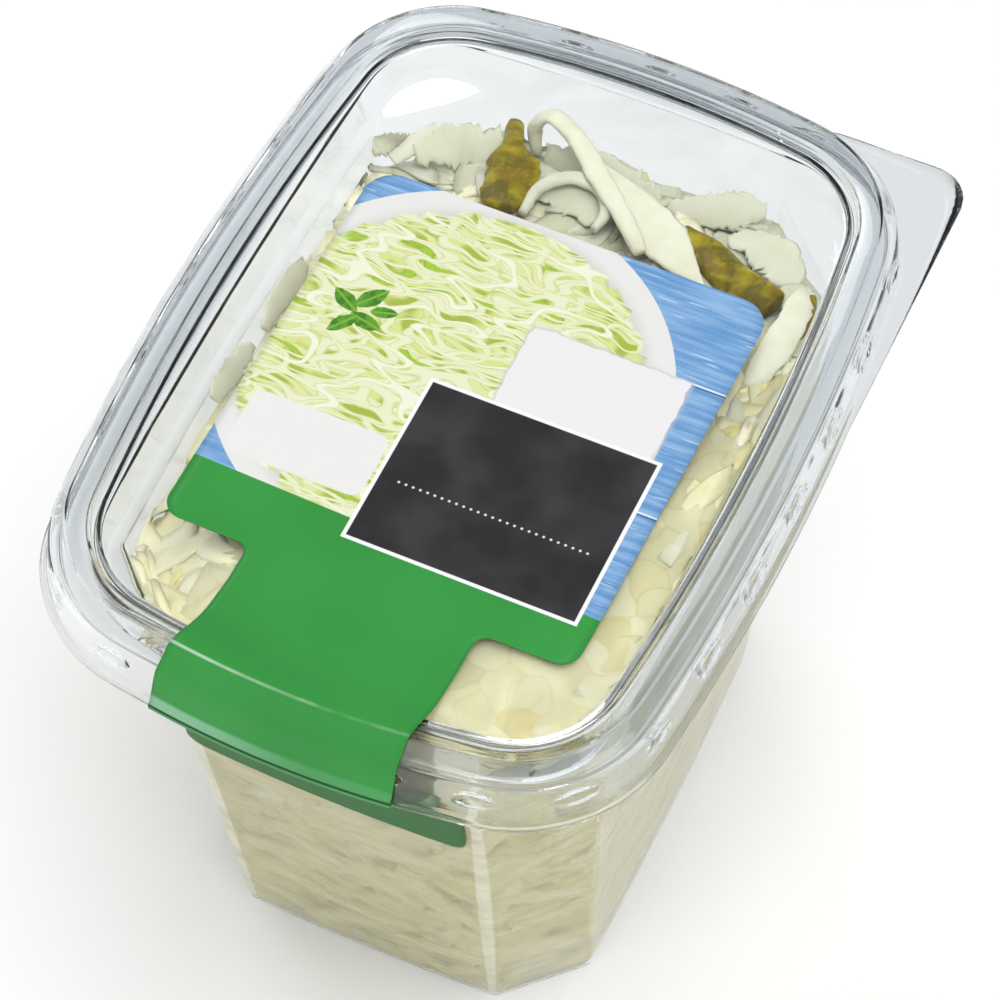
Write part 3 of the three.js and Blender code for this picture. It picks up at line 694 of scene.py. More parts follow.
# The strap over the ring and down the skirt: offset from the ring's line, height, share.
STRAP_OVER_RING = (
    (-2.6, 9.42, 0.32), (-1.6, 9.75, 0.36), (-0.7, 9.97, 0.4), (-0.1, 10.0, 0.44), (0.25, 9.8, 0.48),
    (0.55, 9.4, 0.52), (1.3, 8.3, 0.6), (2.0, 7.25, 0.7), (2.4, 6.5, 0.78), (2.7, 5.2, 0.84), (3.1, 3.0, 0.92),
    (3.5, 1.3, 0.98), (3.85, 0.75, 1.0), (3.95, 0.3, 1.0), (3.9, -0.1, 1.0), (3.6, -0.3, 1.0),
)


def label_rows():
    """Rows across the label from its rear edge to its lower edge on the wall: y, z, left, right, bow."""
    lift = 0.08 + LABEL_SHEET / 2
    panel = RIM_PLANE + PANEL_RISE + lift
    rows = []

    def flat(y, half):
        centre = LABEL["centre"] + LABEL["lean"] * y
        rows.append((y, panel, centre - half, centre + half, 0.0))

    for a in np.linspace(0, math.pi / 2, 9):
        flat(LABEL["rear"] - LABEL["rear_corner"] * (1 - math.cos(a)),
             LABEL["half"] - LABEL["rear_corner"] * (1 - math.sin(a)))
    rear, front = LABEL["rear"] - LABEL["rear_corner"], LABEL["front"] + LABEL["front_corner"]
    for y in np.linspace(rear, front, 24)[1:]:
        flat(y, LABEL["half"])
    for a in np.linspace(0, math.pi / 2, 8)[1:]:
        flat(LABEL["front"] + LABEL["front_corner"] * (1 - math.sin(a)),
             LABEL["half"] - LABEL["front_corner"] * (1 - math.cos(a)))
    for a in np.linspace(0, math.pi / 2, 7):
        flat(LABEL["front"] - 0.03 - LABEL["fillet"] * (1 - math.cos(a)),
             LABEL["strap_half"] + LABEL["fillet"] * (1 - math.sin(a)))
    strap = [(y, panel + height, share, bow) for y, height, share, bow in STRAP_TO_RING]
    for offset, height, share in STRAP_OVER_RING:
        z = RIM_PLANE + height + lift * (height > PANEL_RISE - 0.3)
        strap.append((-(RING_REACH + offset + lift), z, share, RING["bow_y"]))
    for y, z, share, bow in strap:
        half = LABEL["strap_half"] + (LABEL["strap_half_low"] - LABEL["strap_half"]) * share
        centre = LABEL["centre"] - 40 * LABEL["lean"]
        centre += (LABEL["strap_centre_low"] - centre) * share
        rows.append((y, z, centre - half, centre + half, bow))

    def wall_row(z, half):
        size, centre = wall_at(z), LABEL["wall_centre"]
        rows.append((-(size["y"] + lift), z, centre - half, centre + half, size["bow"]))

    start_y, start_z = rows[-1][0], rows[-1][1]
    top = LABEL["wall_top"] + 2
    end_y = -(wall_at(top)["y"] + lift)
    for share in (0.3, 0.6, 0.85):
        half = LABEL["strap_half_low"]
        centre = LABEL["strap_centre_low"] * (1 - share) + LABEL["wall_centre"] * share
        y, z = start_y + (end_y - start_y) * share, start_z + (top - start_z) * share
        rows.append((y, z, centre - half, centre + half, RING["bow_y"] * (1 - share) + share * 0.8))
    wall_row(top, LABEL["strap_half_low"])
    wall_row(LABEL["wall_top"], LABEL["strap_half_low"] + 0.8)
    wall_row(LABEL["wall_top"] - 1.0, LABEL["wall_half"] - 0.5)
    wall_row(LABEL["wall_top"] - 2.0, LABEL["wall_half"])
    for z in np.linspace(LABEL["wall_top"] - 3, LABEL["wall_bottom"] + LABEL["wall_corner"], 6):
        wall_row(z, LABEL["wall_half"])
    for a in np.linspace(0, math.pi / 2, 7)[1:]:
        wall_row(LABEL["wall_bottom"] + LABEL["wall_corner"] * (1 - math.sin(a)),
                 LABEL["wall_half"] - LABEL["wall_corner"] * (1 - math.cos(a)))
    return rows


def make_label(finish):
    rows = label_rows()
    reach = RING["core_x"] - RING["bow_x"]
    grid = bmesh.new()
    bmesh.ops.create_grid(grid, x_segments=LABEL_COLUMNS, y_segments=len(rows) - 1, size=1)
    for vert in grid.verts:
        row = rows[round((1 - vert.co.y) / 2 * (len(rows) - 1))]
        y, z, left, right, bow = row
        x = left + (right - left) * (vert.co.x + 1) / 2
        vert.co = Vector((x, y + bow * (x / reach) ** 2, z)) * MM
    bmesh.ops.reverse_faces(grid, faces=grid.faces)
    made = piece("printed_label", grid, finish, "label_print", "label")
    return add_wall(made, LABEL_SHEET, 0)


# ---------------------------------------------------------------- the heap
def ease(t):
    t = np.clip(t, 0, 1)
    return t * t * (3 - 2 * t)


def heap_top(x, y):
    """Height of the heap: against the lid in front, lower behind and on the left."""
    back = np.clip((y - HEAP["slope_start"]) / (HEAP["slope_end"] - HEAP["slope_start"]), 0, 1) ** 1.25
    left = ease((-x - HEAP["left_start"]) / (HEAP["left_end"] - HEAP["left_start"])) * (1 - 0.4 * back)
    left_drop = HEAP["left_drop"] - 4 * ease((y - 4) / 12)
    bumps = 0.7 * np.sin(x / 4.1 + y / 9) * np.cos(y / 5.3) + 0.4 * np.sin(x / 2.3 - y / 3.1)
    return HEAP["high"] + (HEAP["rear"] - HEAP["high"]) * back - left_drop * left + bumps * (0.5 + back)


def keep_inside(points, margin):
    """Presses points against the tub's walls, its mouth and the lid's panel where they would pass them."""
    x, y, z = points[..., 0], points[..., 1], points[..., 2]
    share = np.clip(z, 0, WALL_HEIGHT) / WALL_HEIGHT
    over = ease((z - WALL_HEIGHT) / 2)
    sizes = {}
    for key in BASE:
        wall = BASE[key] + (WALL_TOP[key] - BASE[key]) * share
        sizes[key] = wall + (MOUTH_INSIDE[key] - wall) * over
    limit_x = sizes["x"] - sizes["bow"] * np.clip(y / (sizes["y"] - sizes["chamfer"]), -1, 1) ** 2 - margin
    limit_y = sizes["y"] - sizes["bow"] * np.clip(x / (sizes["x"] - sizes["chamfer"]), -1, 1) ** 2 - margin
    x = np.clip(x, -limit_x, limit_x)
    y = np.clip(y, -limit_y, limit_y)
    corner = sizes["x"] + sizes["y"] - sizes["chamfer"] - sizes["bow"] - margin * math.sqrt(2)
    excess = np.clip(np.abs(x) + np.abs(y) - corner, 0, None) / 2
    x = x - np.sign(x) * excess
    y = y - np.sign(y) * excess
    return np.stack([x, y, np.clip(z, 1.0, SALAD_CEILING - 0.05)], axis=-1)


def press_low(points, margin):
    """Presses points that lie lower than the mouth against the walls and the shoulder."""
    low = np.clip((MOUTH_LOW["z"] - points[:, 2:]) / (MOUTH_LOW["z"] - WALL_HEIGHT), 0, 1)
    return points + (keep_inside(points, margin) - points) * low


WALL_LOW, WALL_HIGH = wall_line(0), wall_line(WALL_HEIGHT)
WALL_STEP = np.linalg.norm(np.roll((WALL_LOW + WALL_HIGH) / 2, -1, 0) - (WALL_LOW + WALL_HIGH) / 2, axis=1)
WALL_LENGTH = np.concatenate([[0], np.cumsum(WALL_STEP)])


def on_wall(along, z, depth):
    """Points at a distance along the wall's girth, at a height and a depth under the outer surface."""
    along = np.mod(along, WALL_LENGTH[-1])
    share = (np.clip(z, 0, WALL_HEIGHT) / WALL_HEIGHT)[..., None]

    def at(line):
        closed = np.vstack([line, line[:1]])
        return np.stack([np.interp(along, WALL_LENGTH, closed[:, k]) for k in (0, 1)], axis=-1)

    mean = (WALL_LOW + WALL_HIGH) / 2
    tangent = np.roll(mean, -1, 0) - np.roll(mean, 1, 0)
    normal = np.stack([tangent[:, 1], -tangent[:, 0]], axis=1)
    normal /= np.linalg.norm(normal, axis=1, keepdims=True)
    plan = at(WALL_LOW) * (1 - share) + at(WALL_HIGH) * share - at(normal) * depth[..., None]
    return np.concatenate([plan, z[..., None]], axis=-1)


def wall_ring(z, inset):
    """The wall's line moved in, each point at a height of its own."""
    share = np.clip(z / WALL_HEIGHT, 0, 1)[:, None]
    plan = wall_line(0, inset) * (1 - share) + wall_line(WALL_HEIGHT, inset) * share
    return np.column_stack([plan, z])


def heap_edge(drop, wobble):
    """Height of the heap's edge along the walls, never over the shoulder."""
    plan = wall_line(WALL_HEIGHT, 1.0)
    along = np.arange(len(plan))
    waves = np.sin(along / 9.0) + 0.7 * np.sin(along / 4.3 + 1) + 0.4 * np.sin(along / 2.1)
    return np.minimum(heap_top(plan[:, 0], plan[:, 1]) - drop + wobble * waves, WALL_HEIGHT - 0.5)


def heap_relief(x, y):
    """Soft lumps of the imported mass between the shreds."""
    broad = np.sin(x / 1.9 + 1.3 * np.sin(y / 4.7)) * np.sin(y / 2.6 + 1.1 * np.sin(x / 3.9))
    fine = np.sin(x / 0.9 + y / 1.3) * np.sin(y / 1.1 - x / 1.7)
    return 0.4 * broad + 0.14 * fine


def heap_outline(inset, share):
    """The heap's outer line at its top: in the walls where it is low, out in the mouth where it is high."""
    low = wall_line(WALL_HEIGHT, inset)
    high = ease((heap_top(low[:, 0], low[:, 1]) - WALL_HEIGHT - 1) / 3)[:, None]
    return low + (mouth_line(MOUTH_LOW) * share - low) * high


def edge_sink(plan, low_sink, high_sink):
    """How far the edge lies under the heap's own height: less where the heap is pressed up to the lid."""
    high = ease((heap_top(plan[:, 0], plan[:, 1]) - WALL_HEIGHT - 3) / 3)
    return low_sink + (high_sink - low_sink) * high


def make_core(finish):
    """What lies behind the shreds, inside the walls and just under the top."""
    rings = [level(wall_line(z, 2.8), z + 1.5) for z in (0, 20, 40, 56)]
    edge = heap_outline(2.0, 0.965)
    rings.append(wall_ring(np.minimum(heap_top(edge[:, 0], edge[:, 1]) - 5, 76.2), 2.2))
    for scale in np.linspace(1, 0.1, HEAP_RINGS):
        plan = edge * scale
        x, y = plan[:, 0], plan[:, 1]
        sunk = 0.5 + edge_sink(plan, 3.5, 0.9) * ease((scale - 0.94) / 0.06)
        top = np.minimum(heap_top(x, y) - sunk + heap_relief(x, y), SALAD_CEILING - 0.9)
        rings.append(press_low(np.column_stack([plan, top]), 2.0))
    return piece("salad_core", loft(rings, caps=(True, True)), finish, "cabbage", "salad")


def make_marinade(finish):
    """Liquid between the shreds and the wall, reaching just into the wall, and over the high part of the heap."""
    reach = TUB_WALL - 0.12
    rings = [level(wall_line(0, reach + 1.2), TUB_WALL - 0.1), level(wall_line(1.5, reach + 0.25), 1.4)]
    rings += [level(wall_line(z, reach), z) for z in (4, 20, 36, 50)]
    rings.append(wall_ring(heap_edge(3.2, 0.7), reach))
    edge = heap_outline(reach + 0.6, 0.984)
    for scale in np.linspace(1, 0.08, HEAP_RINGS):
        plan = edge * scale
        top = heap_top(plan[:, 0], plan[:, 1])
        wet = ease((top - 80.0) / 2.5)
        depth = 4.2 - 4.9 * wet + edge_sink(plan, 2.6, 0.7) * ease((scale - 0.95) / 0.05)
        depth = depth - 0.5 * wet * heap_relief(plan[:, 0] / 1.6, plan[:, 1] / 1.6)
        surface = np.minimum(top - depth, SALAD_CEILING - 0.12)
        rings.append(press_low(np.column_stack([plan, surface]), reach + 0.6))
    made = piece("marinade", loft(rings, caps=(True, True)), finish, "cabbage")
    made.visible_shadow = False
    return made


# ---------------------------------------------------------------- shreds
def strip_template(cuts):
    """A unit strip along X with softened long edges: its points and faces."""
    strip = bmesh.new()
    bmesh.ops.create_cube(strip, size=1)
    long_edges = [e for e in strip.edges if abs(e.verts[0].co.x - e.verts[1].co.x) > 0.5]
    bmesh.ops.bevel(strip, geom=long_edges, offset=0.2, segments=1, profile=0.5, affect="EDGES", material=-1)
    for k in range(1, cuts):
        geometry = strip.verts[:] + strip.edges[:] + strip.faces[:]
        bmesh.ops.bisect_plane(strip, geom=geometry, plane_co=(k / cuts - 0.5, 0, 0), plane_no=(1, 0, 0))
    bmesh.ops.recalc_face_normals(strip, faces=strip.faces)
    points = np.array([v.co for v in strip.verts])
    faces = [[v.index for v in f.verts] for f in strip.faces]
    strip.free()
    return points, faces


STRIP_POINTS, STRIP_FACES = strip_template(7)


def bent_strips(count, wide, long, thick=(0.8, 1.5), curl=0.8, twist=0.4, cup=0.2, jag=(0.05, 0.3)):
    """Copies of the strip, each of its own size and bend: along, across and rise, one row for each strip."""
    def each(values):
        return np.asarray(values)[:, None]

    u, a, b = (STRIP_POINTS[:, k][None, :] for k in range(3))
    length, width, depth = (each(draws.uniform(*span, count)) for span in (long, wide, thick))
    bend = each(draws.normal(0, curl, count)) + 1e-3
    ripple = each(draws.uniform(*jag, count))
    first, second, third = (each(draws.uniform(0, 6.28, count)) for _ in range(3))
    taper = 0.74 + 0.26 * np.cos(u * 2.4 + first * 0.2) ** 2
    across = a * width * taper + ripple * np.sin(u * 9 + second)
    rise = b * depth + each(draws.normal(0, cup, count)) * (a * 2) ** 2 + 0.4 * ripple * np.sin(u * 7 + third)
    slanted = u + a * width / length * np.sin(first) * 0.9
    turn = each(draws.normal(0, twist, count)) * u
    across, rise = across * np.cos(turn) - rise * np.sin(turn), across * np.sin(turn) + rise * np.cos(turn)
    angle = bend * slanted
    along = length * np.sin(angle) / bend
    sag = length * (1 - np.cos(angle)) / bend
    return along - across * np.sin(angle), sag + across * np.cos(angle), rise, depth


def give_tone(mesh, values):
    """Stores how pale each point is, from 0 to 1."""
    tone = mesh.attributes.new("tone", "FLOAT", "POINT")
    tone.data.foreach_set("value", np.full(len(mesh.vertices), values, dtype=np.float32))


def strips_piece(name, finish, *groups):
    """One mesh from groups of strips, with a tone for each strip."""
    blocks = np.concatenate(groups)
    count = len(STRIP_POINTS)
    every = [[i + block * count for i in face] for block in range(len(blocks)) for face in STRIP_FACES]
    mesh = bpy.data.meshes.new(name)
    mesh.from_pydata((blocks.reshape(-1, 3) * MM).tolist(), [], every)
    give_tone(mesh, np.repeat(draws.uniform(0, 1, len(blocks)), count))
    return piece(name, mesh, finish, "cabbage")


def on_walls(count, wide, long, depth, lean=0.75, low=3.0, **bend):
    """Strips that lie against the walls, from a height up to the heap's edge."""
    along, across, rise, thick = bent_strips(count, wide, long, **bend)
    heading = (draws.normal(0, lean, count) + 0.25)[:, None]
    start = draws.uniform(0, WALL_LENGTH[-1], count)[:, None]
    deep = draws.uniform(*depth, count)[:, None]
    edge = on_wall(start, np.full_like(start, 70.0), np.full_like(start, 2.0))
    top = heap_top(edge[..., 0], edge[..., 1]) - 1.5
    s = start + along * np.cos(heading) - across * np.sin(heading)
    climb = along * np.sin(heading) + across * np.cos(heading)
    height = low + (np.minimum(top, 84) - low) * draws.uniform(0, 1, count)[:, None]
    z = np.minimum(height, top[:, :1] + 1 - climb.max(axis=1, keepdims=True)) + climb
    points = on_wall(s, z, WALL_INSIDE + deep + thick / 2 - rise)
    return keep_inside(points, WALL_INSIDE - 0.05)


def on_heap(count, area, wide, long, depth, heading=0.0, spread=math.pi, tilt=0.08, **bend):
    """Strips that lie on the heap in an area: left, right, low and high edge."""
    along, across, rise, _ = bent_strips(count, wide, long, **bend)
    turn = heading + draws.uniform(-spread, spread, count)[:, None]
    x = draws.uniform(area[0], area[1], count)[:, None] + along * np.cos(turn) - across * np.sin(turn)
    y = draws.uniform(area[2], area[3], count)[:, None] + along * np.sin(turn) + across * np.cos(turn)
    x, y = (np.clip(place, -reach, reach) for place, reach in zip((x, y), HEAP_REACH))
    deep = draws.uniform(*depth, count)[:, None]
    slope = draws.normal(0, tilt, count)[:, None]
    height = heap_top(x, y) - deep + rise + slope * along
    return keep_inside(np.stack([x, y, height], axis=-1), WALL_INSIDE - 0.05)


# ---------------------------------------------------------------- large named pieces
def smooth_path(points, count):
    """A Catmull-Rom line through points, at even steps of its parameter."""
    points = np.array(points, float)
    padded = np.vstack([2 * points[0] - points[1], points, 2 * points[-1] - points[-2]])
    t = np.linspace(0, len(points) - 1, count)
    k = np.minimum(t.astype(int), len(points) - 2)
    s = (t - k)[:, None]
    p0, p1, p2, p3 = (padded[k + i] for i in range(4))
    return 0.5 * (2 * p1 + (p2 - p0) * s + (2 * p0 - 5 * p1 + 4 * p2 - p3) * s ** 2
                  + (3 * p1 - p0 - 3 * p2 + p3) * s ** 3)


def path_strip(path, widths, thick, steps=30, around=14, lumps=0.04, ragged=0.06, blunt=0.2, facing=(0, 0, 1),
               seed=0):
    """A soft strip along a path of x, y, z, its broad side turned to face a direction."""
    local = np.random.default_rng(seed)
    line = smooth_path(path, steps)
    share = np.linspace(0, 1, steps)
    width = np.interp(share, np.linspace(0, 1, len(widths)), widths)
    width = width * (1 + ragged * local.uniform(-1, 1, steps))
    drift = ragged * width * local.uniform(-0.5, 0.5, steps)
    forward = np.gradient(line, axis=0)
    forward /= np.linalg.norm(forward, axis=1, keepdims=True)
    side = np.cross(forward, np.array(facing, float))
    side /= np.linalg.norm(side, axis=1, keepdims=True)
    up = np.cross(side, forward)
    ends = np.sin((0.04 + 0.92 * share) * math.pi) ** blunt
    phases = local.uniform(0, 6.28, 2)
    angle = np.linspace(0, 2 * math.pi, around, endpoint=False)
    rings = []
    for i in range(steps):
        swell = np.sin(2 * angle + i * 0.5 + phases[0]) + np.sin(3 * angle - i * 0.35 + phases[1])
        bump = 1 + lumps * swell
        broad = np.sign(np.cos(angle)) * np.abs(np.cos(angle)) ** 0.75
        flat = broad * width[i] / 2 * ends[i] * bump + drift[i]
        tall = np.sin(angle) * thick / 2 * min(ends[i] + 0.2, 1) * bump
        points = line[i] + flat[:, None] * side[i] + tall[:, None] * up[i]
        rings.append(keep_inside(points, WALL_INSIDE))
    return loft(rings, caps=(True, True))


PEPPERS = (
    dict(path=((-16.4, 45.4, 75.4), (-14.4, 40.6, 76.6), (-12.4, 35.2, 77.6), (-11.0, 29.0, 79.0)),
         widths=(2.9, 3.0, 3.4, 6.4, 7.8, 7.0, 6.2), thick=2.2, lumps=0.07, ragged=0.06, seed=3),
    dict(path=((11.0, 36.7, 77.0), (15.5, 34.1, 77.8), (21.0, 31.0, 78.6), (26.9, 29.2, 79.3)),
         widths=(2.6, 4.6, 5.2, 5.4, 5.6, 5.4), thick=2.5, lumps=0.03, ragged=0.03, blunt=0.12, seed=5),
    dict(path=((30.4, 32.6, 78.6), (31.1, 29.6, 78.9), (31.0, 26.2, 78.6)), widths=(1.4, 2.0, 1.5), thick=2.4,
         lumps=0.05, seed=8),
)
RIB = dict(path=((-12.6, 43.9, 72.6), (-13.4, 45.4, 76.2), (-11.2, 45.9, 78.6), (-6.8, 43.6, 78.9),
                 (-1.5, 38.9, 79.1), (3.6, 34.2, 79.4), (8.0, 30.0, 79.2)),
           widths=(1.8, 2.4, 2.5, 2.7, 2.9, 3.0, 2.6), thick=1.3, steps=44)
FLAP = dict(path=((-4.4, 43.6, 76.4), (1.5, 39.2, 77.8), (7.8, 34.8, 78.4), (12.8, 31.2, 78.9), (17.6, 28.0, 79.2)),
            widths=(1.0, 3.6, 6.4, 6.6, 4.6, 1.2), thick=1.0, ragged=0.04, blunt=0.4)
CURL = dict(path=((29.0, 33.4, 78.6), (29.8, 29.5, 80.6), (29.8, 24.0, 80.6), (29.0, 18.0, 80.0),
                  (28.4, 15.5, 79.2)), widths=(3.0, 4.0, 4.2, 3.6, 2.6), thick=1.1, facing=(0.35, 0, 1), blunt=0.35)
ARC = dict(path=((-8.2, 29.6, 79.0), (-8.0, 34.4, 78.8), (-5.3, 38.0, 78.2), (-1.2, 37.9, 78.0),
                 (1.2, 34.8, 78.4), (1.0, 31.2, 78.6)), widths=(1.6, 1.9, 2.0, 1.9, 1.6), thick=1.3)
LEAVES = (
    dict(path=((6.5, 41.6, 74.0), (10.6, 43.0, 74.2), (14.6, 44.4, 74.6), (18.8, 46.0, 75.0)),
         widths=(2.6, 3.8, 5.6, 3.0), thick=0.7, facing=(0, -0.5, 0.8), ragged=0.14),
    dict(path=((16.6, 38.4, 76.4), (20.0, 39.2, 76.6), (24.2, 37.6, 76.8), (26.4, 34.2, 77.2)),
         widths=(2.4, 5.4, 6.4, 4.6), thick=0.8, ragged=0.16, lumps=0.08),
    dict(path=((-29.0, 34.6, 73.2), (-27.2, 37.8, 74.2), (-25.4, 40.8, 75.2)), widths=(2.2, 2.6, 2.5),
         thick=0.9, facing=(0.2, -0.4, 0.8), ragged=0.04, blunt=0.1),
    dict(path=((-26.5, 36.4, 73.6), (-22.6, 39.2, 74.4), (-18.0, 40.4, 74.8), (-13.0, 41.2, 74.6)),
         widths=(3.6, 5.4, 5.0, 3.4), thick=0.8, facing=(0.1, -0.5, 0.8), ragged=0.2, lumps=0.08),
    dict(path=((-31.6, 34.0, 75.4), (-30.6, 37.2, 74.4), (-28.6, 39.6, 73.6)), widths=(4.0, 4.6, 3.6),
         thick=0.9, facing=(0.5, -0.4, 0.7), ragged=0.14),
    dict(path=((-11.0, 43.4, 74.2), (-5.0, 43.4, 74.2), (1.0, 42.6, 74.2), (5.6, 41.6, 74.4)),
         widths=(3.6, 5.2, 5.0, 3.4), thick=0.8, facing=(0, -0.4, 0.8), ragged=0.18, lumps=0.08),
    dict(path=((-9.6, 34.4, 77.0), (-6.4, 36.4, 76.8), (-2.6, 36.0, 76.8), (0.6, 33.4, 77.2)),
         widths=(3.4, 6.0, 6.4, 4.0), thick=0.8, ragged=0.12),
    dict(path=((-33.0, 14.6, 74.4), (-31.4, 11.6, 75.4), (-31.4, 6.4, 76.2), (-30.8, 1.2, 76.4)),
         widths=(2.0, 3.6, 3.0, 2.0), thick=0.7, facing=(0.5, 0, 0.8), ragged=0.16),
    dict(path=((-31.2, -1.6, 76.4), (-31.8, -6.0, 76.6), (-31.6, -11.4, 77.0)), widths=(2.0, 3.4, 2.6),
         thick=0.7, facing=(0.5, 0, 0.8), ragged=0.14),
    dict(path=((26.0, 34.6, 77.0), (28.6, 32.6, 77.4), (30.6, 29.4, 77.8), (31.2, 25.0, 78.0)),
         widths=(3.0, 5.0, 5.6, 4.4), thick=0.8, ragged=0.12),
)


def make_large_pieces(rib, glassy, pepper):
    for number, shape in enumerate(PEPPERS, 1):
        strip = path_strip(around=20, **shape)
        made = piece(f"pepper_{number}", strip, pepper, "pepper", f"pepper_strip_{number}")
        smooth = made.modifiers.new("soft", "SUBSURF")
        smooth.levels = smooth.render_levels = 1
    singles = (("rib_strip", RIB, rib), ("leaf_flap", FLAP, rib), ("curled_strip", CURL, rib),
               ("ring_strip", ARC, glassy))
    for name, shape, finish in singles:
        give_tone(piece(name, path_strip(seed=len(name), **shape), finish, "cabbage").data, 0.8)
    for number, shape in enumerate(LEAVES, 1):
        leaf = piece(f"leaf_{number}", path_strip(seed=number, **shape), glassy, "cabbage")
        give_tone(leaf.data, draws.uniform(0.4, 0.9))


# ---------------------------------------------------------------- studio
def area_light(name, place, aim, size, power, colour=(1, 1, 1)):
    lamp = bpy.data.lights.new(name, "AREA")
    lamp.shape = "RECTANGLE"
    lamp.size, lamp.size_y = size
    lamp.energy = power
    lamp.color = colour
    made = bpy.data.objects.new(name, lamp)
    bpy.context.scene.collection.objects.link(made)
    made.location = place
    made.rotation_euler = (Vector(aim) - Vector(place)).to_track_quat("-Z", "Y").to_euler()


def make_studio():
    ground = bmesh.new()
    bmesh.ops.create_grid(ground, x_segments=1, y_segments=1, size=3.0)
    mesh = bpy.data.meshes.new("floor")
    ground.to_mesh(mesh)
    ground.free()
    floor = bpy.data.objects.new("floor", mesh)
    mesh.materials.append(Sheet("floor_white", Base_Color=(0.96, 0.96, 0.96, 1), Roughness=0.9).material)
    bpy.context.scene.collection.objects.link(floor)

    world = bpy.data.worlds.new("studio")
    world.use_nodes = True
    tree = world.node_tree
    place = tree.nodes.new("ShaderNodeTexCoord")
    axes = tree.nodes.new("ShaderNodeSeparateXYZ")
    ramp = tree.nodes.new("ShaderNodeValToRGB")
    tree.links.new(place.outputs["Generated"], axes.inputs[0])
    tree.links.new(axes.outputs["Z"], ramp.inputs[0])
    stops = ramp.color_ramp.elements
    stops[0].position, stops[0].color = 0.1, (0.64, 0.65, 0.66, 1)
    stops[1].position, stops[1].color = 0.8, (0.26, 0.265, 0.27, 1)
    tree.links.new(ramp.outputs[0], tree.nodes["Background"].inputs["Color"])
    tree.nodes["Background"].inputs["Strength"].default_value = 1.0
    bpy.context.scene.world = world

    area_light("key", (0.3, -0.05, 1.25), (0, 0, 0.05), (1.0, 1.0), 10.5)
    area_light("front", (-0.35, -1.15, 0.6), (0, 0, 0.05), (1.1, 0.8), 4.5)
    area_light("right", (1.2, -0.25, 0.5), (0, 0, 0.05), (0.8, 0.8), 2.2)
    area_light("rear", (-0.9, 0.6, 0.8), (0, 0, 0.06), (0.8, 0.6), 4)


def make_camera():
    lens = bpy.data.cameras.new("camera")
    lens.lens = CAMERA["lens"]
    lens.sensor_width = 36
    lens.clip_start = 0.01
    camera = bpy.data.objects.new("camera", lens)
    bpy.context.scene.collection.objects.link(camera)
    turn = Euler((math.radians(90 - CAMERA["elevation"]), 0, math.radians(CAMERA["azimuth"])))
    camera.rotation_euler = turn
    camera.location = (Vector(CAMERA["aim"]) + turn.to_matrix() @ Vector((0, 0, CAMERA["distance"]))) * MM
    bpy.context.scene.camera = camera


# ---------------------------------------------------------------- build
make_camera()
make_studio()

# Areas of the heap: left, right, low and high edge.
FRONT, RIGHT, LEFT = (-27, 32, -47, -22), (24, 33, -44, 18), (-32, -20, -46, 30)

rib = cabbage_finish("cabbage_rib", srgb(216, 216, 198), srgb(190, 188, 146), 0.3, grain=-0.69)
pressed = cabbage_finish("cabbage_pressed", srgb(214, 211, 176), srgb(200, 191, 134), 0.0)
pale = cabbage_finish("cabbage_pale", srgb(230, 228, 202), srgb(212, 205, 154), 0.0)
yellow = cabbage_finish("cabbage_yellow", srgb(220, 213, 162), srgb(194, 180, 100), 0.0)
glassy = cabbage_finish("cabbage_glassy", srgb(216, 216, 196), srgb(196, 196, 164), 0.0, solid=0.84)

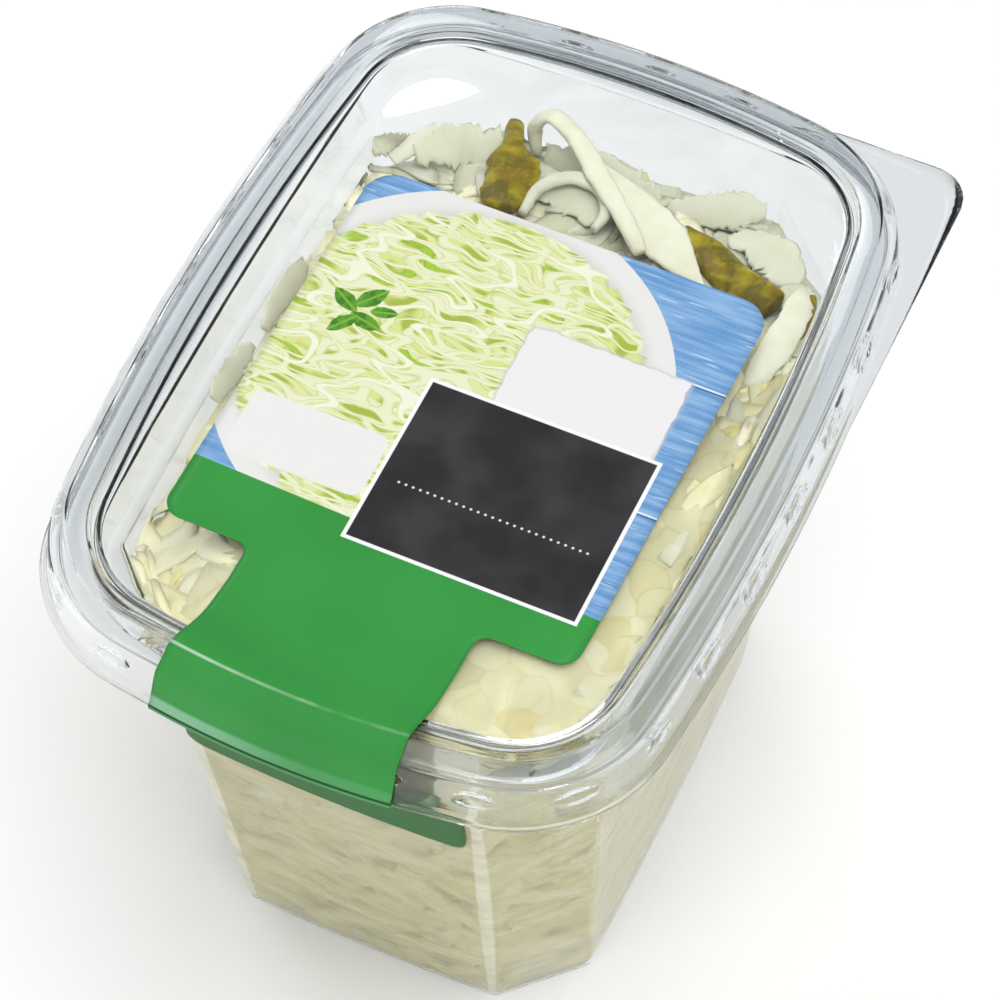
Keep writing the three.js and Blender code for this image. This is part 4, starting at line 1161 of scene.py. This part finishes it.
make_tub(clear_plastic("tub_plastic", srgb(248, 250, 250), srgb(232, 236, 238)))
make_lid(clear_plastic("lid_plastic", srgb(248, 250, 251), srgb(226, 230, 233)))
make_label(label_finish())
make_core(core_finish())
make_marinade(marinade_finish())
strips_piece(
    "wall_shreds_pale", pale,
    on_walls(800, (1.6, 3.2), (9, 24), (0.0, 2.2)),
    on_walls(150, (2.0, 4.0), (6, 14), (0.0, 1.6), low=75.0),
)
strips_piece(
    "wall_shreds_yellow", yellow,
    on_walls(350, (1.4, 3.0), (8, 20), (0.3, 2.4)),
)
strips_piece(
    "pressed_shreds", pressed,
    on_heap(90, FRONT, (4.0, 8.0), (6, 14), (0.8, 1.9), thick=(1.2, 2.2), curl=0.4, cup=0.1),
    on_heap(80, RIGHT, (2.4, 4.8), (11, 24), (0.5, 1.7), heading=math.pi / 2, spread=0.5, curl=0.5),
)
strips_piece(
    "top_shreds_pale", pale,
    on_heap(80, LEFT, (3.0, 7.0), (7, 18), (-0.4, 1.0), heading=math.pi / 2, spread=1.2, cup=0.1),
    on_heap(90, (-30, 31, 14, 40), (2.0, 5.0), (8, 20), (0.0, 1.2), tilt=0.08),
)
strips_piece(
    "top_shreds_yellow", yellow,
    on_heap(30, FRONT, (3.0, 6.0), (6, 13), (0.9, 1.9), curl=0.4),
    on_heap(35, RIGHT, (2.4, 4.2), (9, 20), (0.8, 1.8), heading=math.pi / 2, spread=0.6),
    on_heap(40, LEFT, (2.4, 5.0), (7, 15), (0.5, 1.4)),
)
strips_piece(
    "top_shreds_glassy", glassy,
    on_heap(70, (-29, 29, 20, 41), (3.5, 8.0), (7, 16), (-0.3, 0.8), thick=(0.5, 0.9), tilt=0.08, cup=0.3),
    on_heap(50, (-29, 29, 18, 41), (1.0, 1.7), (10, 22), (-0.5, 0.6), thick=(0.6, 1.0), curl=1.6),
    on_heap(26, (-26, 26, 43, 46), (3.0, 6.5), (8, 15), (-0.3, 1.0), thick=(0.5, 0.9), spread=0.25, curl=0.5),
    on_heap(30, (22, 33, -44, 22), (2.4, 4.6), (10, 22), (0.2, 0.9), thick=(0.5, 0.9), heading=1.5, spread=0.5),
)
make_large_pieces(rib, glassy, pepper_finish())

scene = bpy.context.scene
scene.view_settings.view_transform = "Standard"
# Light passes many clear walls, so only the dull bounces are kept few.
scene.cycles.max_bounces = 10
scene.cycles.diffuse_bounces = 2
scene.cycles.glossy_bounces = 10
scene.cycles.transmission_bounces = 10
scene.cycles.transparent_max_bounces = 10
